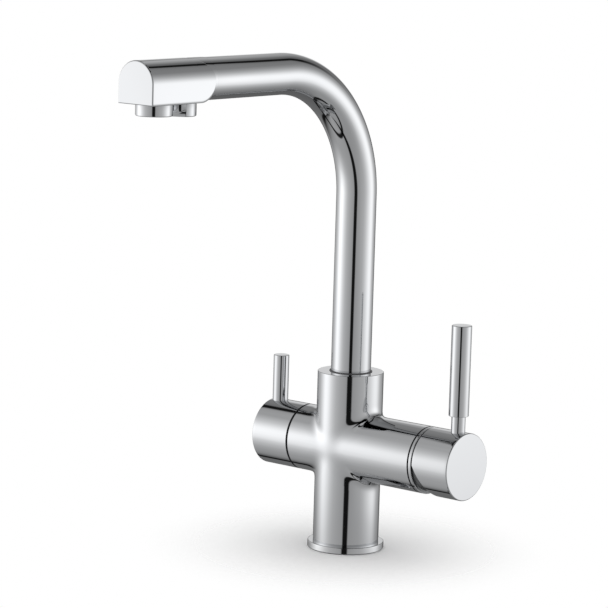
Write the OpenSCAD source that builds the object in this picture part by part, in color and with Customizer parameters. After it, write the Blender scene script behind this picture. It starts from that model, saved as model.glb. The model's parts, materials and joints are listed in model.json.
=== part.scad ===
// Three-way kitchen tap: a cross-shaped body, a mixer lever on its right arm, a
// quarter-turn lever for filtered water on its left arm, and a high swivel spout
// with two separate outlets. Millimetres, +Z up. The origin is the centre of the
// foot, on the sink deck. The crossbar lies along X and the spout points to -Y.

/* [Body] */
// Height of the crossbar's axis above the sink deck
bar_axis_z = 73.5; // [70:0.5:90]
// Diameter of the upright column
column_d = 46.3; // [44:0.1:52]
// Rise of the column's top above the crossbar's axis
column_rise = 52.6; // [51:0.2:60]
// Diameter of the crossbar
bar_d = 46.7; // [45:0.1:52]
// Length of the mixer arm, from the column's axis to its end face
mixer_arm = 70; // [66:0.5:80]
// Length of the filter arm, from the column's axis to its end face
filter_arm = 37.2; // [36:0.2:45]
// Chamfer on the machined rims
rim_chamfer = 0.6; // [0.3:0.1:0.8]

/* [Foot] */
// Diameter of the base flange
flange_d = 53.8; // [53:0.2:60]
// Height of the base flange
flange_h = 4.5; // [4:0.1:6]
// Thickness of the rubber gasket under the flange
gasket_t = 1.5; // [1.2:0.1:2]
// Depth of the groove that holds the gasket
gasket_groove_h = 1; // [0.6:0.1:1.1]
// Width of the gasket, from its inner to its outer edge
gasket_w = 5; // [4:0.1:5.2]
// Distance of the gasket inside the flange's chamfered rim
gasket_inset = 0.9; // [0.7:0.1:1.2]
// Diameter of the body's spigot in the flange
foot_d = 38; // [37:0.2:40]
// Lift of the spigot's underside above the flange's underside
foot_lift = 0.2; // [0.1:0.1:0.5]

/* [Sockets under the foot] */
// Diameter of the M10 x 1 hose sockets at the thread's crests
hose_socket_d = 9; // [8.5:0.1:9.5]
// Depth of the hose sockets
hose_socket_l = 14; // [12:0.5:18]
// Distance of the hot and cold sockets to the right of the column's axis
supply_x = 6; // [5.6:0.1:6.5]
// Distance of the hot and cold sockets behind and before the column's axis
supply_y = 9; // [8.6:0.1:9.4]
// Distance of the filtered-water socket to the left of the column's axis
filter_socket_x = 11; // [10:0.2:12]
// Diameter of the M8 stud hole at the thread's crests
stud_hole_d = 6.8; // [6.4:0.1:7]
// Depth of the stud hole
stud_hole_l = 14; // [12:0.5:18]
// Distance of the stud hole to the right of the column's axis
stud_x = 12.4; // [12:0.1:13]

/* [Waterways] */
// Diameter of the hot and cold ducts
inlet_duct_d = 4.8; // [4:0.1:5]
// Distance of the hot and cold ducts from the body's middle plane
inlet_duct_y = 7.2; // [7:0.1:7.6]
// Height of the inlet ports above the mixer's axis
inlet_port_rise = 5; // [4.6:0.1:5.4]
// Diameter of the duct for mixed water
mixed_duct_d = 5.6; // [5:0.1:6]
// Depth of the mixed-water port below the mixer's axis
mixed_port_drop = 6; // [5.6:0.1:6.4]
// Distance of the mixed-water riser from the column's axis
mixed_riser_x = 9; // [8.6:0.1:9.1]
// Diameter of the filtered-water ducts
filter_duct_d = 4.8; // [4:0.1:5]
// Offset of the filtered-water inlet duct behind the middle plane
filter_inlet_y = 1.6; // [1.5:0.1:1.7]
// Offset of the filtered-water return duct before the middle plane
filter_return_y = 4.2; // [4:0.1:4.4]
// Depth of the filtered-water return duct below the crossbar's axis
filter_return_drop = 7.5; // [7:0.1:7.8]

/* [Spout bearing] */
// Diameter of the pivot's journal in the column
journal_d = 27; // [26.6:0.1:27.4]
// Running clearance of the spout in its bearing, on the radius
running_gap = 0.06; // [0.03:0.01:0.08]
// Length of the journal
journal_l = 25; // [24:0.5:27]
// Height of the glide ring at the column's mouth
glide_h = 9; // [8:0.5:10]
// Wall of the glide ring
glide_wall = 1; // [0.8:0.1:1.4]
// Height of the glide ring above the column's mouth
glide_over = 0.4; // [0.2:0.1:0.8]
// Thickness of the thrust washer under the journal
washer_t = 1; // [0.8:0.1:1.5]
// Diameter of the mixed-water chamber
chamber_d = 24; // [23.6:0.1:24.4]
// Height of the mixed-water chamber
chamber_h = 8; // [7:0.5:8.5]
// Diameter of the pivot's stalk, which carries the filtered water
stalk_d = 10; // [9.6:0.1:10.2]
// Length of the stalk below the chamber's floor
stalk_grip = 13; // [12:0.5:13.5]
// Height of the filtered-water sump below the stalk
sump_h = 8; // [7:0.5:8]
// Diameter of the filtered-water bore in the pivot and the elbow
barb_bore_d = 3.4; // [2.6:0.1:3.6]
// Section of the two journal seals
journal_seal_d = 1.7; // [1.4:0.1:2]
// Distance of the journal seals from the journal's ends
journal_seal_end = 4; // [3.5:0.1:4.5]
// Section of the stalk seal
stalk_seal_d = 1.4; // [1.2:0.1:1.6]
// Depth of the stalk seal below the chamber's floor
stalk_seal_drop = 4; // [3:0.5:6]
// Depth of the seal grooves beyond the seal's own section
groove_spare = 0.05; // [0.02:0.01:0.1]
// Length of the pivot's collar inside the spout tube
tube_grip = 10; // [8:0.5:14]
// Diameter of the mixed-water passages through the pivot
passage_d = 4; // [3:0.1:4.2]
// Number of mixed-water passages
passage_n = 6; // [3:1:8]
// Diameter of the grub screw that keeps the spout in
keeper_d = 5; // [4:0.1:5]
// Length of the keeper screw
keeper_l = 8.6; // [8:0.1:9]
// Depth of the pivot's keeper groove
keeper_groove = 1.3; // [1:0.1:1.6]
// Play of the keeper in its groove, at its tip and its sides
keeper_play = 0.4; // [0.3:0.1:0.5]

/* [Spout] */
// Outer diameter of the spout tube
tube_d = 28; // [27.9:0.1:28.4]
// Wall of the spout tube
tube_wall = 1.2; // [1:0.1:1.6]
// Rise of the spout arm's centreline above the crossbar's axis
arm_rise = 264.1; // [220:1:300]
// Bend radius of the spout on its centreline
bend_r = 87.6; // [60:0.2:100]
// Reach of the spout from the column's axis to its tip face
reach = 227; // [200:1:260]
// Length of the outlet block
block_l = 63; // [61:0.5:70]
// Width of the outlet block, which is also the diameter of its round top
block_w = 30; // [29:0.1:31]
// Rise of the outlet block's round top above the arm's centreline
block_rise = 14.3; // [14.25:0.05:14.5]
// Radius of the outlet block's round collar at the tube's end
collar_r = 14.2; // [14:0.05:14.25]
// Depth of the outlet block's flat underside below the arm's centreline
block_drop = 13.8; // [13.6:0.1:13.9]
// Length of the flat underside, from the tip face to the rounded heel
block_flat_l = 46; // [44:0.5:47]
// Wall of the outlet block's tip face
tip_wall = 5; // [4:0.1:5.4]
// Diameter of the water chamber in the outlet block
block_bore_d = 22.6; // [22.2:0.1:23]
// Length of the block's spigot in the tube
spigot_l = 8; // [6:0.5:12]
// Outer diameter of the inner hose for filtered water
hose_d = 8; // [7:0.1:8.4]
// Wall of the inner hose
hose_wall = 1.25; // [1:0.05:1.5]
// Height of the hose's lower end above the column's mouth
hose_rise = 4; // [3:0.5:8]
// Length of the hose barbs
barb_l = 9; // [7:0.5:10]
// Thickness of the elbow's flange above the filtered-water outlet
elbow_flange_t = 0.8; // [0.6:0.1:0.9]

/* [Outlets] */
// Distance of the mixed-water outlet's axis behind the tip face
aerator_back = 17.7; // [17.4:0.1:18]
// Diameter of the mixed-water outlet
aerator_d = 24; // [23.4:0.1:24.4]
// Drop of the mixed-water outlet below the block
aerator_drop = 7.8; // [7:0.1:9]
// Diameter of the mixed-water outlet's thread
aerator_thread_d = 22; // [21.6:0.1:22.2]
// Length of the outlet threads
outlet_thread_l = 4.5; // [4:0.1:5]
// Distance of the filtered-water outlet's axis behind the tip face
filter_outlet_back = 42.5; // [42:0.1:43]
// Diameter of the filtered-water outlet
filter_outlet_d = 21; // [20:0.1:21.2]
// Drop of the filtered-water outlet below the block
filter_outlet_drop = 9; // [8:0.1:10]
// Diameter of the filtered-water outlet's thread
filter_thread_d = 18; // [17.4:0.1:18.2]
// Width across the spanner flats on the filtered-water outlet
flats_w = 17.6; // [17:0.1:18.4]
// Height of the spanner flats
flats_h = 3.4; // [3:0.1:4]
// Turn of the spanner flats about the outlet's axis
flats_turn = 30; // [0:1:60]
// Wall of the outlets' threaded sleeves
outlet_wall = 1.6; // [1.4:0.1:2]
// Inward lip that keeps the outlets' inserts in
outlet_lip = 0.8; // [0.6:0.1:1]
// Thickness of the outlets' lips
lip_t = 1; // [0.8:0.1:1.4]
// Thickness of the outlets' inserts
insert_t = 7; // [6:0.1:8]
// Diameter of the holes in the inserts
spray_hole_d = 1.6; // [1:0.1:1.8]
// Thickness of the seals above the outlets
outlet_seal_t = 1.2; // [1:0.1:1.6]

/* [Mixer cartridge] */
// Diameter of the cartridge
cartridge_d = 35; // [34.6:0.1:35.4]
// Play of the cartridge in the mixer arm, on the radius
cartridge_play = 0.1; // [0.08:0.01:0.15]
// Depth of the cartridge's seat inside the mixer arm
seat_depth = 28; // [28:0.1:29]
// Diameter of the nut's thread in the mixer arm
nut_d = 38; // [37.6:0.1:38.4]
// Length of the cartridge nut
nut_l = 4.5; // [4:0.1:4.6]
// Width of the slots across the nut's end
nut_slot_w = 4; // [3:0.5:5]
// Depth of the slots across the nut's end
nut_slot_h = 2; // [1.5:0.1:2.4]
// Depth of the lift pivot inside the mixer arm's end face
pivot_depth = 2; // [1.8:0.1:2.4]
// Thickness of the cartridge's base
base_t = 4.7; // [4.4:0.1:4.8]
// Width left between a port of the cartridge and its seal
port_margin = 0.8; // [0.6:0.1:0.9]
// Wall of the port seals
port_seal_wall = 1.4; // [1.2:0.1:1.5]
// Depth of the port seals' grooves
port_seal_h = 1.2; // [1:0.1:1.6]
// Thickness of the fixed ceramic disc
fixed_disc_t = 3; // [2.8:0.1:3.1]
// Thickness of the moving ceramic disc
moving_disc_t = 3.4; // [3.2:0.1:3.5]
// Diameter of the moving ceramic disc
moving_disc_d = 22.8; // [22.6:0.1:23]
// Depth of the mixing pocket in the moving disc
pocket_h = 2; // [1.6:0.1:2.4]
// Rim left round the mixing pocket
pocket_rim = 1; // [0.8:0.1:1.2]
// Land between the mixing pocket and the closed inlet ports
port_land = 0.4; // [0.3:0.1:0.5]
// Flats on the two sides of the disc carrier
carrier_flat = 0.8; // [0.8:0.1:1]
// Wall of the cartridge housing
housing_wall = 1.1; // [0.9:0.1:1.1]
// Thickness of the housing's shoulder
shoulder_t = 2; // [1.6:0.1:2]
// Outer diameter of the housing's neck
neck_d = 28.4; // [28:0.1:28.8]
// Wall of the housing's neck
neck_wall = 1.7; // [1.5:0.1:1.9]
// Height of the housing's neck beyond the lift pivot
neck_over = 6; // [5.5:0.1:6]
// Thickness of the rotor's flange
rotor_flange_t = 1.4; // [1.2:0.1:1.6]
// Reach of the rotor beyond the housing's neck
rotor_over = 0.5; // [0.3:0.1:0.6]
// Height of the rotor's slot above the mixer's axis
slot_up = 8.2; // [8.1:0.1:8.6]
// Depth of the rotor's slot below the mixer's axis
slot_down = 7.9; // [7.8:0.1:8.4]
// Width of the lugs that guide the disc carrier
lug_w = 7; // [5:0.5:9]
// Thickness of the lugs
lug_t = 4; // [3:0.1:4.4]
// Running clearance inside the cartridge, on the radius
cartridge_gap = 0.08; // [0.05:0.01:0.09]
// Face clearance between the cartridge's moving pieces
face_gap = 0.3; // [0.2:0.05:0.35]
// Diameter of the lift pivot's pin
pivot_pin_d = 4; // [3.6:0.1:4.2]
// Width of the stem's square bar
stem_w = 8; // [7.6:0.1:8]
// Diameter of the stem's ball end
ball_d = 6; // [5.6:0.1:6]
// Play of the ball in the disc carrier, on the radius
ball_play = 0.1; // [0.05:0.01:0.15]
// Distance from the lift pivot to the ball's centre
ball_arm = 11.2; // [11:0.1:11.4]
// Diameter of the stem between its square bar and the ball
stem_neck_d = 4; // [3.6:0.1:4.1]

/* [Mixer handle] */
// Largest lift of the mixer lever, in degrees
lift_max = 25; // [20:1:26]
// Extra angle cut away under the hub beyond the largest lift
lift_spare = 1; // [0.5:0.5:2]
// Width of the cover ring that shows between the arm and the hub
cover_ring_w = 2.5; // [2:0.1:3]
// Seam between the arm and the cover ring
cover_seam = 0.4; // [0.3:0.1:0.5]
// Depth of that seam
cover_seam_h = 0.8; // [0.5:0.1:1]
// Length of the cover's threaded spigot in the arm
cover_spigot_l = 2.4; // [2.2:0.1:2.6]
// Wall of the cover's spigot
cover_spigot_wall = 1.7; // [1.4:0.1:2]
// Diameter of the cover's dome, which is round about the lift pivot
dome_d = 43.2; // [42.8:0.1:43.4]
// Wall of the cover's dome
dome_wall = 2; // [1.6:0.1:2.2]
// Reach of the dome beyond the lift pivot
dome_over = 11; // [9:0.2:11]
// Gap between the hub and the dome, on the radius
hub_gap = 0.4; // [0.35:0.05:0.5]
// Reach of the hub beyond the mixer arm's end face
hub_reach = 33.4; // [33:0.2:40]
// Thickness of the hub's solid end
hub_end_t = 14.9; // [14:0.1:15]
// Diameter of the hub's boss for the stem
hub_boss_d = 16; // [15:0.1:16.4]
// Length of the hub's boss
hub_boss_l = 8.5; // [8:0.1:8.8]
// Length of the stem in the hub's solid end
stem_in_hub = 4.5; // [4:0.1:5]
// Distance of the lever's axis from the hub's end face
lever_back = 8.6; // [8:0.1:8.8]
// Diameter of the lever's thin rod
lever_rod_d = 9.7; // [9:0.1:10]
// Height of the sleeve's lower end above the mixer's axis
sleeve_rise = 34.5; // [30:0.5:40]
// Height of the lever's top above the mixer's axis
lever_rise = 97; // [80:1:120]
// Diameter of the lever's sleeve
sleeve_d = 13.8; // [13:0.1:15]
// Depth of the sleeve's bore below its closed top
sleeve_cap = 16; // [10:1:20]
// Diameter of the threaded studs of the two levers
lever_stud_d = 6; // [5:0.1:6]
// Length of the threaded studs of the two levers
lever_stud_l = 10.5; // [8:0.5:11]

/* [Filter valve] */
// Diameter of the valve's thread in the filter arm
valve_thread_d = 20.8; // [20.4:0.1:21.2]
// Depth of the valve's seat inside the filter arm
valve_seat_depth = 17.2; // [17:0.1:17.4]
// Depth of the valve's hexagon pocket in the filter arm
hex_pocket_h = 4; // [3.6:0.1:4.2]
// Room for a socket spanner round the hexagon
hex_room = 5; // [4.6:0.1:5.2]
// Width across the valve's hexagon
hex_w = 24; // [22:0.2:25]
// Thickness of the valve's hexagon
hex_t = 5.3; // [5:0.1:6]
// Length of the valve's thread
valve_thread_l = 6.2; // [5.8:0.1:6.4]
// Diameter of the valve's nose
nose_d = 15; // [14.6:0.1:15.4]
// Thickness of the nose's floor
nose_floor_t = 1.4; // [1.2:0.1:1.6]
// Gap between the filter duct and the seat seal round it
seat_seal_inset = 1; // [0.6:0.1:1.4]
// Diameter of the valve's disc bore
disc_bore_d = 12.4; // [12.2:0.1:12.6]
// Diameter of the valve's neck
valve_neck_d = 15; // [13:0.1:16]
// Length of the valve's neck beyond its hexagon
valve_neck_l = 7.5; // [7:0.1:8]
// Thickness of the valve's two ceramic discs
valve_disc_t = 2.1; // [1.9:0.1:2.2]
// Rim left round the openings in the valve's discs
disc_rim = 1.2; // [1:0.1:1.4]
// Distance of the openings from the discs' middle planes
disc_land = 0.6; // [0.5:0.1:0.8]
// Thickness of the stem's driver behind the discs
driver_t = 4; // [3.8:0.1:4.1]
// Width of the windows in the valve's nose
window_w = 5; // [4:0.1:6]
// Thickness of the valve's seat seal
seat_seal_t = 1.5; // [1.2:0.1:1.6]
// Diameter of the valve's stem
valve_stem_d = 8; // [7.6:0.1:8.2]
// Section of the stem's seal
stem_seal_d = 1; // [0.8:0.1:1.1]

/* [Filter handle] */
// Reach of the knob beyond the filter arm's end face
knob_reach = 32.3; // [32:0.2:38]
// Gap between the filter arm and the knob
knob_gap = 0.5; // [0.35:0.05:0.7]
// Depth of the hollow in the knob
knob_hollow_h = 9.3; // [9.3:0.1:10]
// Wall of the knob round its hollow
knob_wall = 2.3; // [1.6:0.1:3]
// Engagement of the valve's stem in the knob
stem_grip = 11.5; // [11:0.5:13]
// Distance of the pin lever's axis from the knob's end face
pin_back = 6; // [6:0.1:7]
// Diameter of the pin lever
pin_d = 11.1; // [10:0.1:11.2]
// Height of the pin lever's top above the crossbar's axis
pin_rise = 55.65; // [45:0.5:70]
// Depth of the lever pockets below the top of the hub and knob
lever_pocket_h = 3; // [2.5:0.1:3.5]

/* [Handle screws] */
// Diameter of the handles' grub screws
grub_d = 5; // [4:0.1:5]
// Length of the handles' grub screws
grub_l = 8; // [6:0.5:9]
// Distance from the knob's hollow to its grub screw
knob_grub_x = 6; // [5:0.5:8]
// Distance from the hub's hollow to its grub screw
hub_grub_x = 2.8; // [2.7:0.1:2.9]
// Diameter of the plugs over the grub screws
plug_d = 6; // [5.6:0.1:6.4]
// Thickness of the plugs
plug_t = 2.4; // [2:0.1:3]
// Depth of the plugs below the surface at their middle
plug_depth = 0.2; // [0.1:0.1:0.4]
// Width across the hexagon sockets of the grub screws
key_w = 2.5; // [2:0.1:2.5]
// Depth of the hexagon sockets
key_h = 2.5; // [2:0.1:3]

/* [Hidden] */
$fn = 72;

// Clearance of fixed pieces and of threads, on the radius or the face
fit = 0.05;
thread_fit = 0.05;
// Clearance of the lifted hub over the cover ring
hub_clear = 0.15;
// Overrun of cuts and of joined solids, and of risers past their cross ducts
cut = 0.5;
riser_over = 0.2;
// Larger than the object's widest part
far = 200;

// Levels of the foot
flange_z = gasket_t - gasket_groove_h;
column_z = flange_z + flange_h;
foot_z = flange_z + foot_lift;
gasket_r = flange_d / 2 - rim_chamfer - gasket_inset;
hose_socket_z = foot_z + hose_socket_l;

// Levels of the spout bearing, from the column's mouth down
column_top_z = bar_axis_z + column_rise;
journal_top_z = column_top_z - glide_h;
journal_z = journal_top_z - journal_l;
ledge_z = journal_z - washer_t;
chamber_z = ledge_z - chamber_h;
stalk_z = chamber_z - stalk_grip;
sump_z = stalk_z - sump_h;
keeper_z = journal_z + journal_l / 2;
journal_seal_zs = [journal_z + journal_seal_end, journal_top_z - journal_seal_end];
stalk_seal_z = chamber_z - stalk_seal_drop;
journal_bore_r = journal_d / 2 + running_gap;
glide_bore_r = tube_d / 2 + running_gap + glide_wall;
tube_bore_r = tube_d / 2 - tube_wall;

// Spout
arm_z = bar_axis_z + arm_rise;
bend_z = arm_z - bend_r;
block_back_y = -(reach - block_l);
heel_y = -(reach - block_flat_l);
block_under_z = arm_z - block_drop;
aerator_y = -(reach - aerator_back);
filter_outlet_y = -(reach - filter_outlet_back);
barb_d = hose_d - 2 * hose_wall - 2 * fit;
hose_start_z = column_top_z + hose_rise;
outlet_top_z = block_under_z + outlet_thread_l + outlet_seal_t + 2 * fit;
elbow_flange_z = outlet_top_z + elbow_flange_t;
elbow_d = filter_thread_d - 2 * outlet_wall;
hose_end_y = filter_outlet_y + elbow_d / 2 + fit;

// Mixer arm, from the seat outwards
seat_x = mixer_arm - seat_depth;
base_x = seat_x + face_gap;
fixed_disc_x = base_x + base_t;
moving_disc_x = fixed_disc_x + fixed_disc_t + fit;
carrier_x = moving_disc_x + moving_disc_t + fit;
pivot_x = mixer_arm - pivot_depth;
ball_x = pivot_x - ball_arm;
nut_x = mixer_arm - nut_l - cover_spigot_l;
shoulder_x = nut_x - shoulder_t;
rotor_x = shoulder_x - face_gap - rotor_flange_t;
lug_x = carrier_x + cut;
carrier_half = moving_disc_d / 2 - carrier_flat;
carrier_t = rotor_x - face_gap - carrier_x;
housing_end_x = pivot_x + neck_over;
neck_bore_r = neck_d / 2 - neck_wall;
cover_front_x = mixer_arm + cover_seam + cover_ring_w;
hub_x = pivot_x + (cover_front_x - pivot_x + hub_clear) / cos(lift_max + lift_spare);
hub_bore_r = dome_d / 2 + hub_gap;
hub_end_x = mixer_arm + hub_reach;
hub_floor_x = hub_end_x - hub_end_t;
lever_x = hub_end_x - lever_back;
hub_boss_x = hub_floor_x - hub_boss_l;
stem_end_x = hub_floor_x + stem_in_hub;
hub_grub_at = hub_floor_x + hub_grub_x;

// Filter arm, from the seat outwards, all as distances along -X
valve_seat_x = filter_arm - valve_seat_depth;
nose_x = valve_seat_x + seat_seal_t + fit;
valve_return_x = valve_seat_x + valve_seat_depth / 3;
hex_x = filter_arm - hex_pocket_h;
valve_thread_x = hex_x - valve_thread_l;
hex_end_x = hex_x + hex_t;
valve_end_x = hex_end_x + valve_neck_l;
valve_fixed_x = nose_x + nose_floor_t;
valve_moving_x = valve_fixed_x + valve_disc_t + fit;
driver_x = valve_moving_x + valve_disc_t;
driver_end_x = driver_x + driver_t;
stem_seal_x = hex_end_x + valve_neck_l / 2;
knob_x = filter_arm + knob_gap;
knob_floor_x = knob_x + knob_hollow_h;
knob_end_x = filter_arm + knob_reach;
stem_end_in_knob_x = knob_floor_x + stem_grip;
pin_x = knob_end_x - pin_back;
knob_grub_at = knob_floor_x + knob_grub_x;

// Lever pockets and grub screws, which the hub and the knob share
lever_pocket_z = bar_axis_z + bar_d / 2 - lever_pocket_h;
plug_z = bar_axis_z - bar_d / 2 + plug_depth;

// Finishes
chrome = [0.80, 0.82, 0.84];
brass = [0.78, 0.62, 0.30];
rubber = [0.13, 0.13, 0.14];
ceramic = [0.93, 0.92, 0.88];
white_plastic = [0.90, 0.90, 0.88];
grey_plastic = [0.45, 0.47, 0.50];
dark_plastic = [0.10, 0.10, 0.11];
steel = [0.55, 0.57, 0.60];

// Straight round lengths along each axis, from one place to another
module rod_x(x0, x1, r, y = 0, z = bar_axis_z) {
    translate([x0, y, z])
        rotate([0, 90, 0])
            cylinder(h = x1 - x0, r = r);
}

module rod_y(y0, y1, r, x = 0, z = 0) {
    translate([x, y0, z])
        rotate([-90, 0, 0])
            cylinder(h = y1 - y0, r = r);
}

module rod_z(z0, z1, r, x = 0, y = 0) {
    translate([x, y, z0])
        cylinder(h = z1 - z0, r = r);
}

// Flat rings along each axis
module ring_x(x0, x1, r_out, r_in, y = 0, z = bar_axis_z) {
    difference() {
        rod_x(x0, x1, r_out, y, z);
        rod_x(x0 - cut, x1 + cut, r_in, y, z);
    }
}

module ring_z(z0, z1, r_out, r_in, x = 0, y = 0) {
    difference() {
        rod_z(z0, z1, r_out, x, y);
        rod_z(z0 - cut, z1 + cut, r_in, x, y);
    }
}

// A round length along Z with a chamfer at its lower and its upper rim
module bevelled_z(z0, z1, r, low, high) {
    rotate_extrude()
        polygon([[0, z0], [r - low, z0], [r, z0 + low], [r, z1 - high], [r - high, z1], [0, z1]]);
}

// The same along +X, with the chamfers at its inner and its outer end
module bevelled_x(x0, x1, r, low, high) {
    translate([0, 0, bar_axis_z])
        rotate([0, 90, 0])
            bevelled_z(x0, x1, r, low, high);
}

// Lays out pieces of the filter arm, which are drawn along +X, towards -X
module to_filter_side() {
    mirror([1, 0, 0])
        children();
}

// A round seal of section d, set in a shaft of radius r at the height z
module seal_z(r, d, z) {
    translate([0, 0, z])
        rotate_extrude()
            translate([r - (d + groove_spare) / 2, 0])
                circle(d = d);
}

// The groove of such a seal in a shaft of radius r
module seal_groove_z(r, d, z) {
    ring_z(z - d / 2 - fit, z + d / 2 + fit, 2 * r, r - d - groove_spare);
}

// A grub screw of length l with its tip at z and a hexagon socket in its lower end
module grub_z(z, l, d, x = 0) {
    difference() {
        rod_z(z - l, z, d / 2, x);
        translate([x, 0, z - l - cut])
            cylinder(h = key_h + cut, d = key_w / cos(30), $fn = 6);
    }
}

module base_gasket() {
    color(rubber)
        ring_z(0, gasket_t, gasket_r - fit, gasket_r - gasket_w + fit);
}

module base_flange() {
    color(chrome)
        difference() {
            bevelled_z(flange_z, column_z, flange_d / 2, rim_chamfer / 2, rim_chamfer);
            rod_z(flange_z - cut, column_z + cut, foot_d / 2 + fit);
            ring_z(flange_z - cut, flange_z + gasket_groove_h, gasket_r, gasket_r - gasket_w);
        }
}

// The three hose sockets, the stud hole and the drilled ducts of the body
module hose_sockets() {
    for (side = [-1, 1])
        rod_z(foot_z - cut, hose_socket_z, hose_socket_d / 2, supply_x, side * supply_y);
    rod_z(foot_z - cut, hose_socket_z, hose_socket_d / 2, -filter_socket_x, 0);
    rod_z(foot_z - cut, foot_z + stud_hole_l, stud_hole_d / 2, stud_x, 0);
}

// A cross duct starts on the middle line of its riser, which runs a little past it
module supply_ducts() {
    duct_r = inlet_duct_d / 2;
    inlet_z = bar_axis_z + inlet_port_rise;
    for (side = [-1, 1]) {
        rod_z(hose_socket_z - cut, inlet_z + duct_r + riser_over, duct_r + riser_over, supply_x,
            side * inlet_duct_y);
        rod_x(supply_x, seat_x + cut, duct_r, side * inlet_duct_y, inlet_z);
    }
}

module mixed_duct() {
    duct_r = mixed_duct_d / 2;
    mixed_z = bar_axis_z - mixed_port_drop;
    rod_x(mixed_riser_x, seat_x + cut, duct_r, 0, mixed_z);
    rod_z(mixed_z - duct_r - riser_over, chamber_z + cut, duct_r + riser_over, mixed_riser_x, 0);
}

module filter_ducts() {
    duct_r = filter_duct_d / 2;
    rod_z(hose_socket_z - cut, bar_axis_z + duct_r + riser_over, duct_r + riser_over, -filter_socket_x,
        filter_inlet_y);
    to_filter_side() {
        rod_x(filter_socket_x, valve_seat_x + cut, duct_r);
        rod_x(0, valve_return_x, duct_r, -filter_return_y, bar_axis_z - filter_return_drop);
    }
}

module spout_bore() {
    rod_z(sump_z, chamber_z + cut, stalk_d / 2 + running_gap);
    rod_z(chamber_z, ledge_z + cut, chamber_d / 2);
    rod_z(ledge_z, journal_top_z + cut, journal_bore_r);
    rod_z(journal_top_z, column_top_z + cut, glide_bore_r);
    rod_y(journal_d / 2 - cut, column_d / 2 + cut, keeper_d / 2 + thread_fit, 0, keeper_z);
}

module cartridge_bore() {
    rod_x(seat_x, nut_x + cut, cartridge_d / 2 + cartridge_play);
    rod_x(nut_x - fit, mixer_arm + cut, nut_d / 2);
}

module valve_bore() {
    to_filter_side() {
        rod_x(valve_seat_x, filter_arm + cut, valve_thread_d / 2 + thread_fit);
        rod_x(hex_x, filter_arm + cut, hex_w / 2 + hex_room);
    }
}

module tap_body() {
    color(chrome)
        difference() {
            union() {
                bevelled_z(column_z, column_top_z, column_d / 2, 0, rim_chamfer);
                rod_z(foot_z, column_z + cut, foot_d / 2);
                bevelled_x(-filter_arm, mixer_arm, bar_d / 2, rim_chamfer / 2, rim_chamfer / 2);
            }
            hose_sockets();
            supply_ducts();
            mixed_duct();
            filter_ducts();
            spout_bore();
            cartridge_bore();
            valve_bore();
        }
}

module spout_keeper() {
    tip_y = journal_d / 2 - keeper_groove + keeper_play;
    color(steel)
        translate([0, 0, keeper_z])
            rotate([90, 0, 0])
                grub_z(-tip_y, keeper_l, keeper_d);
}

module glide_ring() {
    color(dark_plastic)
        ring_z(journal_top_z + fit, column_top_z + glide_over, glide_bore_r - fit, tube_d / 2 + running_gap);
}

module thrust_washer() {
    color(white_plastic)
        ring_z(ledge_z, journal_z, journal_bore_r - fit, chamber_d / 2 + fit);
}

// Children are set at each of the cartridge's three ports
module at_ports() {
    for (side = [-1, 1])
        translate([0, side * inlet_duct_y, bar_axis_z + inlet_port_rise])
            children(0);
    translate([0, 0, bar_axis_z - mixed_port_drop])
        children(1);
}

module port_holes(x0, x1) {
    at_ports() {
        rod_x(x0 - cut, x1 + cut, inlet_duct_d / 2, 0, 0);
        rod_x(x0 - cut, x1 + cut, mixed_duct_d / 2, 0, 0);
    }
}

// The seals round the ports, or with play their grooves
module port_rings(x0, x1, play) {
    inlet_r = inlet_duct_d / 2 + port_margin;
    mixed_r = mixed_duct_d / 2 + port_margin;
    at_ports() {
        ring_x(x0, x1, inlet_r + port_seal_wall + play, inlet_r - play, 0, 0);
        ring_x(x0, x1, mixed_r + port_seal_wall + play, mixed_r - play, 0, 0);
    }
}

module cartridge_seals() {
    color(rubber)
        port_rings(seat_x + fit, base_x + port_seal_h - fit, 0);
}

module cartridge_base() {
    color(grey_plastic)
        difference() {
            rod_x(base_x, fixed_disc_x, cartridge_d / 2);
            port_holes(base_x, fixed_disc_x);
            port_rings(base_x - cut, base_x + port_seal_h, fit);
        }
}

module cartridge_housing() {
    bore_r = cartridge_d / 2 - housing_wall;
    color(grey_plastic)
        difference() {
            union() {
                rod_x(fixed_disc_x, nut_x, cartridge_d / 2);
                rod_x(nut_x - cut, housing_end_x, neck_d / 2);
            }
            rod_x(fixed_disc_x - cut, shoulder_x, bore_r);
            rod_x(shoulder_x - cut, housing_end_x + cut, neck_bore_r);
        }
}

module fixed_disc() {
    x1 = fixed_disc_x + fixed_disc_t;
    color(ceramic)
        difference() {
            rod_x(fixed_disc_x, x1, cartridge_d / 2 - housing_wall - fit);
            port_holes(fixed_disc_x, x1);
        }
}

module cartridge_nut() {
    color(brass)
        difference() {
            ring_x(nut_x, nut_x + nut_l, nut_d / 2 - thread_fit, neck_d / 2 + cartridge_play);
            for (turn = [0, 90])
                translate([nut_x + nut_l - nut_slot_h, 0, bar_axis_z])
                    rotate([turn, 0, 0])
                        translate([0, -nut_d, -nut_slot_w / 2])
                            cube([nut_slot_h + cut, 2 * nut_d, nut_slot_w]);
        }
}

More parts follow.
